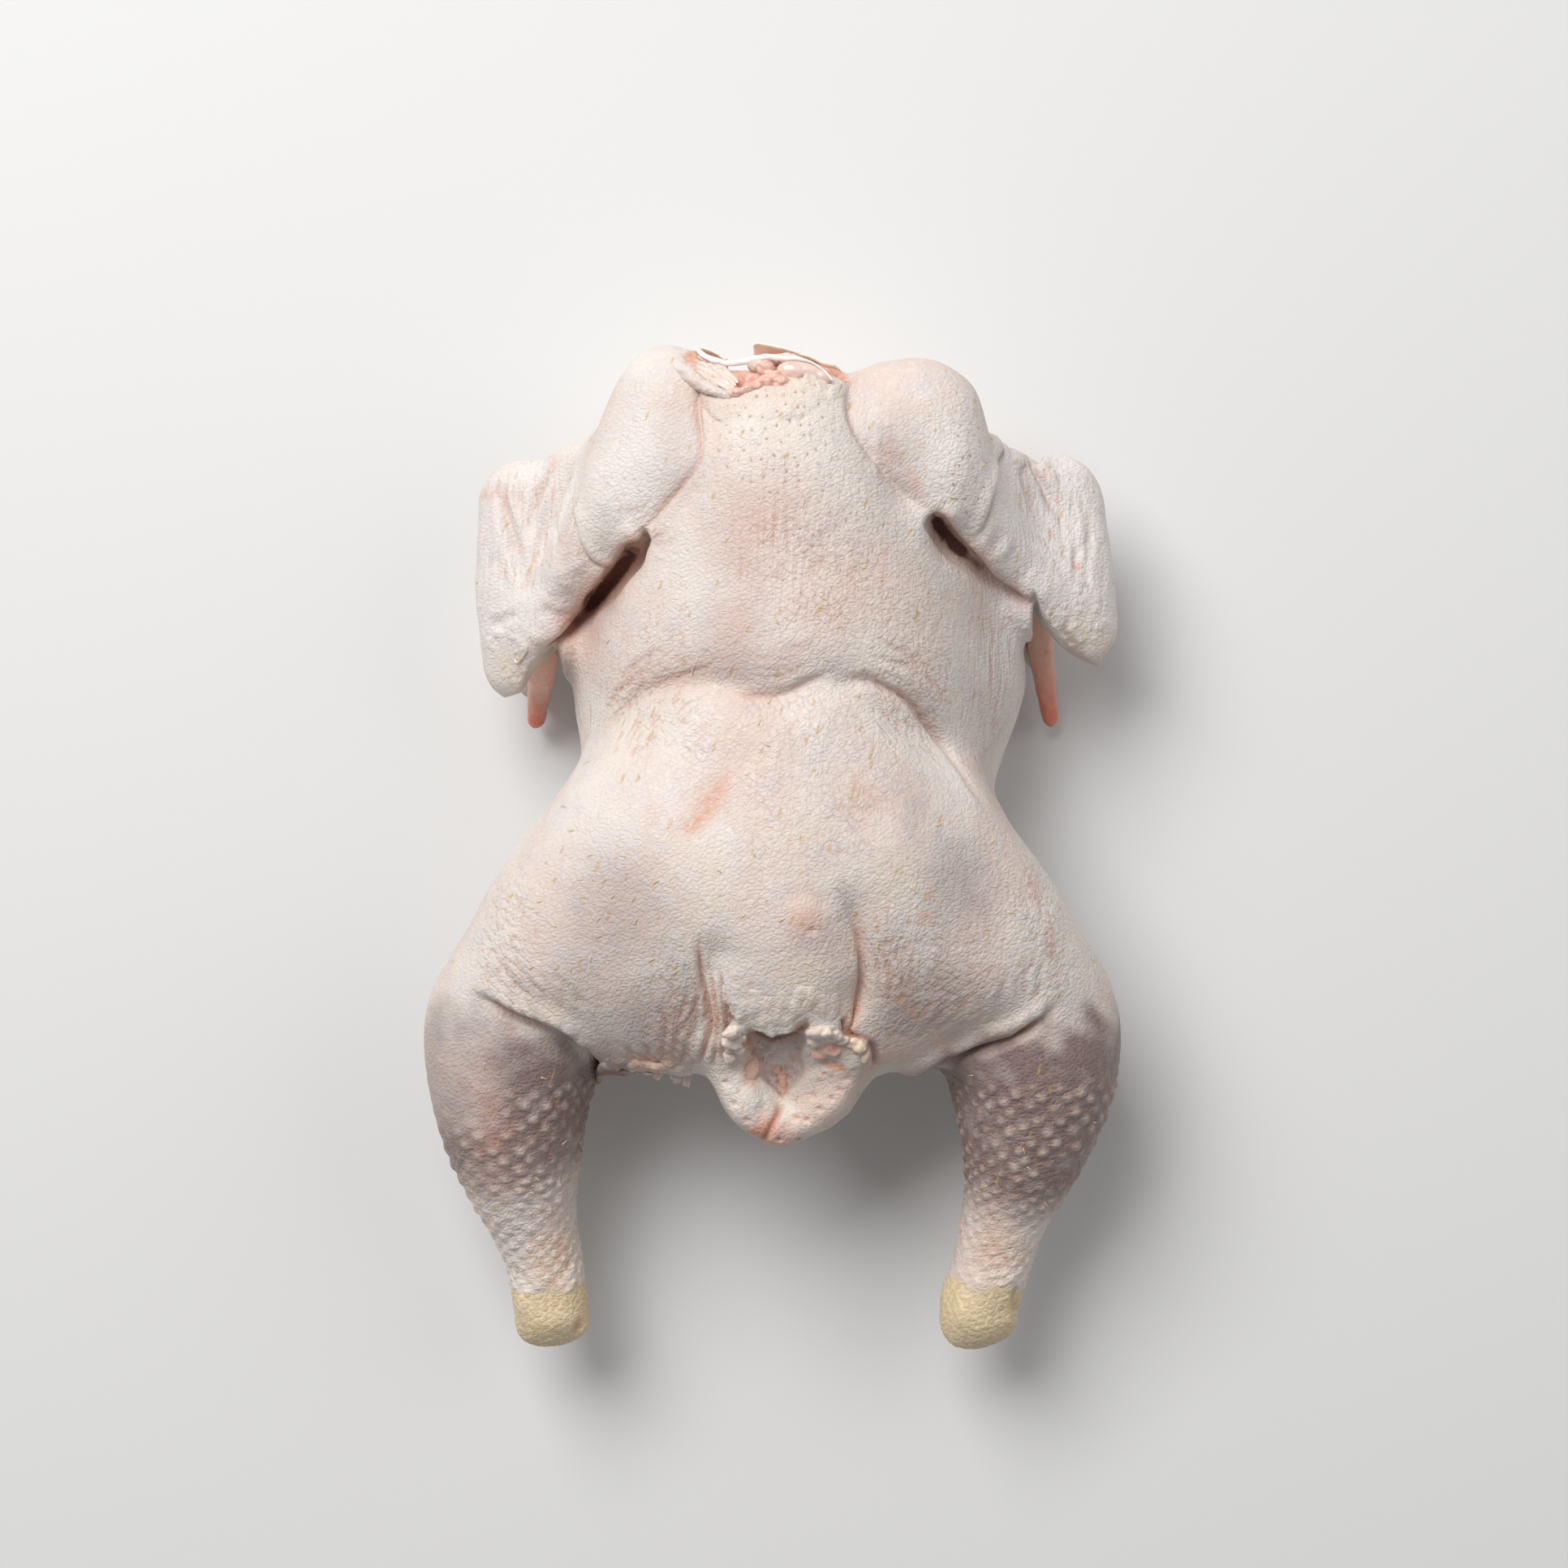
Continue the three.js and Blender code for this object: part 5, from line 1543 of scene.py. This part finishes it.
FLAP_EDGE = [(-6.4, 161.2, 82.5), (-4.6, 162, 84.5), (3, 160.2, 87), (10.4, 157.8, 89), (15.3, 155.6, 90.5),
             (19.5, 154, 91)]
sheet("breast_skin_flap", [FLAP_ROOT, FLAP_MIDDLE, FLAP_EDGE], 1.5, flap_skin, columns=44, rows=12,
      ragged=0.25, rough=0.15, seed=68)
CORNER_ROOT = [(-25, 156.5, 76), (-20, 155.5, 80), (-14, 154, 84)]
CORNER_MIDDLE = [(-24.6, 159.4, 82), (-20, 158.4, 84.5), (-14, 155.6, 87)]
CORNER_EDGE = [(-24, 160.4, 87), (-20, 159.4, 88), (-14.5, 156.2, 89)]
sheet("breast_skin_corner", [CORNER_ROOT, CORNER_MIDDLE, CORNER_EDGE], 1.2, flap_skin, columns=26, rows=9,
      ragged=0.3, rough=0.12, seed=69)

# %% [markdown]
# ## The tail
#
# The oil gland was cut out of the tail. The skin of the back now ends in a torn lip over the hollow, with
# small beads of fat along both of its walls and paler muscle below them.

# %% The torn lip and what it covers
LIP_EDGE = [(-16, -55), (-14, -55.2, 98.6), (-12.1, -54.6, 100), (-9.2, -53.8, 101.2), (-7.7, -52.8, 101.8),
            (-5.9, -54.2, 102), (-2.6, -55.6, 102.4), (-0.3, -56.8, 102.4), (1.5, -55.8, 102.6),
            (4.8, -55.6, 102.8), (6.7, -53, 103), (8.9, -51.8, 103.2), (11.1, -50.6, 103.4),
            (12.4, -52.6, 102.8), (15.1, -53, 101.8), (19.6, -53.8, 99.8), (21.8, -55.4, 97.6)]
root = [on(x, y, -0.7) for x, y in [(-16, -40), (-7, -41), (2, -41), (11, -39), (21, -41)]]
middle = [on(x, y, 0.0) for x, y in [(-16, -48), (-7, -48), (2, -49), (11, -45.5), (21, -49)]]
edge = [place if len(place) == 3 else on(*place, -0.3) for place in LIP_EDGE]
lip = sheet("tail_skin_lip", [root, middle, edge], 1.4, skin_finish, columns=80, rows=14, ragged=0.7,
            rough=0.3, seed=71)
painted_like_skin(lip, (0, 6, 0))
LIP_ROLL = [(x, y + 1.0, z - 0.25) for x, y, z in LIP_EDGE[1:-1]]
roll = strand("tail_lip_roll", LIP_ROLL, [0.7, 1.2, 1.4, 1.1, 1.5, 1.3, 1.2, 1.5, 1.2, 0.7], skin_finish,
              flat=0.8, sides=14, rough=0.3, seed=78)
painted_like_skin(roll, (0, 6, 0))
lumps("tail_fat_left",
      laid([(-12.6, -55.4, -0.2, 3.2, 2.2, 1.9, 25), (-10.2, -57, 0.3, 2.2, 1.9, 1.8),
            (-13.6, -58.8, -0.4, 2.6, 2.4, 1.7), (-10.6, -61, 0.1, 2.3, 2.2, 1.7),
            (-13.8, -63.4, -0.7, 2.2, 3.0, 1.6), (-11.6, -59.4, -0.2, 2.2, 2.2, 1.7)]), fat, 0.25, 72, 6)
lumps("tail_fat_right",
      laid([(12.6, -55.6, 0, 2.8, 1.8, 1.8, -8), (16, -55.2, -0.2, 3.2, 1.9, 1.8, -8),
            (19.4, -56, -0.4, 2.6, 1.9, 1.7, -15), (12.6, -58.4, -0.4, 2.0, 2.4, 1.6),
            (21.8, -58, -0.5, 2.2, 1.8, 1.6)]), fat, 0.25, 73, 6)
lumps("tail_muscle", laid([(17.4, -60.8, -1.2, 4.6, 2.8, 1.9, -12), (14.2, -62.6, -1.2, 2.6, 2.2, 1.7, -12),
                           (-7.6, -67.4, -1.0, 3.4, 5.0, 1.9), (3.0, -72.2, -0.6, 1.6, 3.6, 1.2, 8),
                           (0.8, -68.4, -0.5, 1.8, 2.4, 1.0, 20)]), flesh, 0.2, 75)
lumps("tail_corner", laid([(24.8, -59, -0.6, 2.6, 1.6, 1.7, 20), (27.2, -60.4, -0.7, 2.2, 2.2, 1.7),
                           (28.8, -63, -1.0, 1.6, 3.0, 1.6)]), flap_skin, 0.3, 76)
HOLLOW_SINEWS = [(-3.4, -63.4, 3.4, -61.6), (-1.6, -66, 4.8, -63.8), (6.4, -60.6, 9.4, -62.2),
                 (-5.6, -59.6, -1.2, -62.6), (9.6, -64.4, 12.6, -61), (2, -65, 4, -70),
                 (-2.4, -64, -3.6, -69)]
for number, (x, y, far_x, far_y) in enumerate(HOLLOW_SINEWS, 1):
    over = on((x + far_x) / 2, (y + far_y) / 2 - 0.5, 0.2)
    strand(f"hollow_sinew_{number}", [on(x, y, -0.3), over, on(far_x, far_y, -0.3)], [0.3, 0.5, 0.3],
           membrane, 0.6, 8, 0.2, 80 + number, 0.6)

# %% [markdown]
# ## Edges, scraps and wing tips
#
# The skirt of the rump was cut away below, which leaves a thin ragged edge with scraps. The wing tips are
# thin skin over bone, so they dry to pink and red, and they lie on the board.

# %% Rump edge and scraps
rims = [rim(x, y) for x, y in [(-58, -52), (-54, -56), (-50, -58), (-46, -60), (-42, -60), (-38, -60),
                               (-34, -60), (-30, -60), (-26, -60)]]
free = [place + (0.4, -0.9, -2.4) for place in rims]
root = [np.array(on(x, y + 4.0, -0.7)) for x, y, _ in rims]
over_rim = [np.array(on(x, y + 1.2, 0.25)) for x, y, _ in rims]
rump_edge = sheet("rump_edge", [root, over_rim, free], 1.0, skin_finish, columns=90, rows=11, ragged=1.0,
                  rough=0.3, seed=91)
painted_like_skin(rump_edge, (0, 3, 0))
SCRAPS = [(-36, 3.2, -112, torn_skin), (-33, 2.6, -70, torn_skin), (-30.5, 3.4, -95, membrane),
          (-27, 4.6, -100, membrane), (-47, 2.8, -120, torn_skin)]
SCRAP_ROOT = 1.6  # how far each scrap starts inside the rim
for number, (x, reach, way, finish) in enumerate(SCRAPS, 1):
    ahead = np.array([math.cos(math.radians(way)), math.sin(math.radians(way)), 0])
    aside = np.array([-ahead[1], ahead[0], 0])
    base = rim(x, -60) + (0, SCRAP_ROOT, 0)
    lines = []
    for share, lift in ((0, -0.6), (0.5, -0.2), (1.0, -2.2)):
        forward = ahead * (reach + SCRAP_ROOT) * share
        lines.append([base + aside * wide + forward + (0, 0, lift)
                      for wide in (-1.9 + 0.5 * share, 0, 1.9 - 0.8 * share)])
    sheet(f"rump_scrap_{number}", lines, 0.6, finish, 14, 7, 0.4, 0.15, 92 + number)

# %% Wing tips
for side_x, name, sizes in ((-1, "wing_tip_left", [5.0, 5.4, 5.0, 4.2, 3.4, 2.9]),
                            (1, "wing_tip_right", [4.6, 4.7, 4.4, 3.9, 3.2, 2.6])):
    strand(name, WING_TIPS[side_x], sizes, tip_skin, 0.85, 20, 0.05, 97 + side_x, step=1.4, tint_from=0.35)
strand("elbow_scrap", [on(-84.5, 63, 0.1), on(-83.6, 61.6, 0.5), on(-81.4, 63.6, 0.5), on(-79.8, 66, 0.4),
                       on(-79.6, 68, 0.1)], [0.4, 0.55, 0.45, 0.5, 0.35], fat, 0.6, 8, 0.2, 99, 0.7)
print("pieces so far:", len([o for o in scene.objects if o.type == "MESH" and o.visible_get()]))

# %% [markdown]
# ## Stubs of feathers
#
# A few pin feathers always break off in the skin: short cream or yellow quills, half sunk and lying with the
# grain. A Geometry Nodes tree scatters them where the "fleck" layer is painted. Each quill has few faces,
# because there are hundreds of them.


# %% The quill tree
QUILLS = {"Density": 16000.0, "Quill Length": 0.0021, "Quill Radius": 0.00027}  # in metres


def quill_tree():
    """Scatters small quills over the skin it is given, as real faces."""
    bench = Tree("quills", "Quills", QUILLS)
    node, given = bench.node, bench.given
    where = bench.layer("fleck")
    seeds = node("GeometryNodeDistributePointsOnFaces", {"distribute_method": "RANDOM"}, {
        "Mesh": given["Skin"], "Density": given["Density"] * where * where, "Seed": 7})
    facing = Wire(bench, seeds.socket.node.outputs["Rotation"])
    quill = node("GeometryNodeMeshCone", {}, {
        "Vertices": 6, "Side Segments": 3, "Radius Top": given["Quill Radius"] * 0.3,
        "Radius Bottom": given["Quill Radius"], "Depth": given["Quill Length"]})
    lying = node("FunctionNodeRandomValue", {"data_type": "FLOAT_VECTOR"}, {
        0: (1.25, -0.3, -0.5), 1: (1.5, 0.3, 0.9), "Seed": 3})
    turned = node("FunctionNodeRotateRotation", {"rotation_space": "LOCAL"}, {
        0: facing, 1: node("FunctionNodeEulerToRotation", {}, {0: lying})})
    size = node("FunctionNodeRandomValue", {"data_type": "FLOAT"}, {2: 0.45, 3: 1.25, "Seed": 5})
    return bench.ended(node("GeometryNodeInstanceOnPoints", {}, {
        "Points": seeds, "Instance": quill, "Rotation": turned, "Scale": size}))


# %% The quills
quill_horn = tissue("quill_horn", (0.66, 0.46, 0.20), (0.78, 0.62, 0.36), (0.88, 0.80, 0.62), 6.0, 0.2,
                    0.02)
quills = linked("quills", skin.data.copy())
run_tree(quills, quill_tree(), quill_horn)
finish_piece(quills)
print("quill faces:", len(quills.data.polygons))
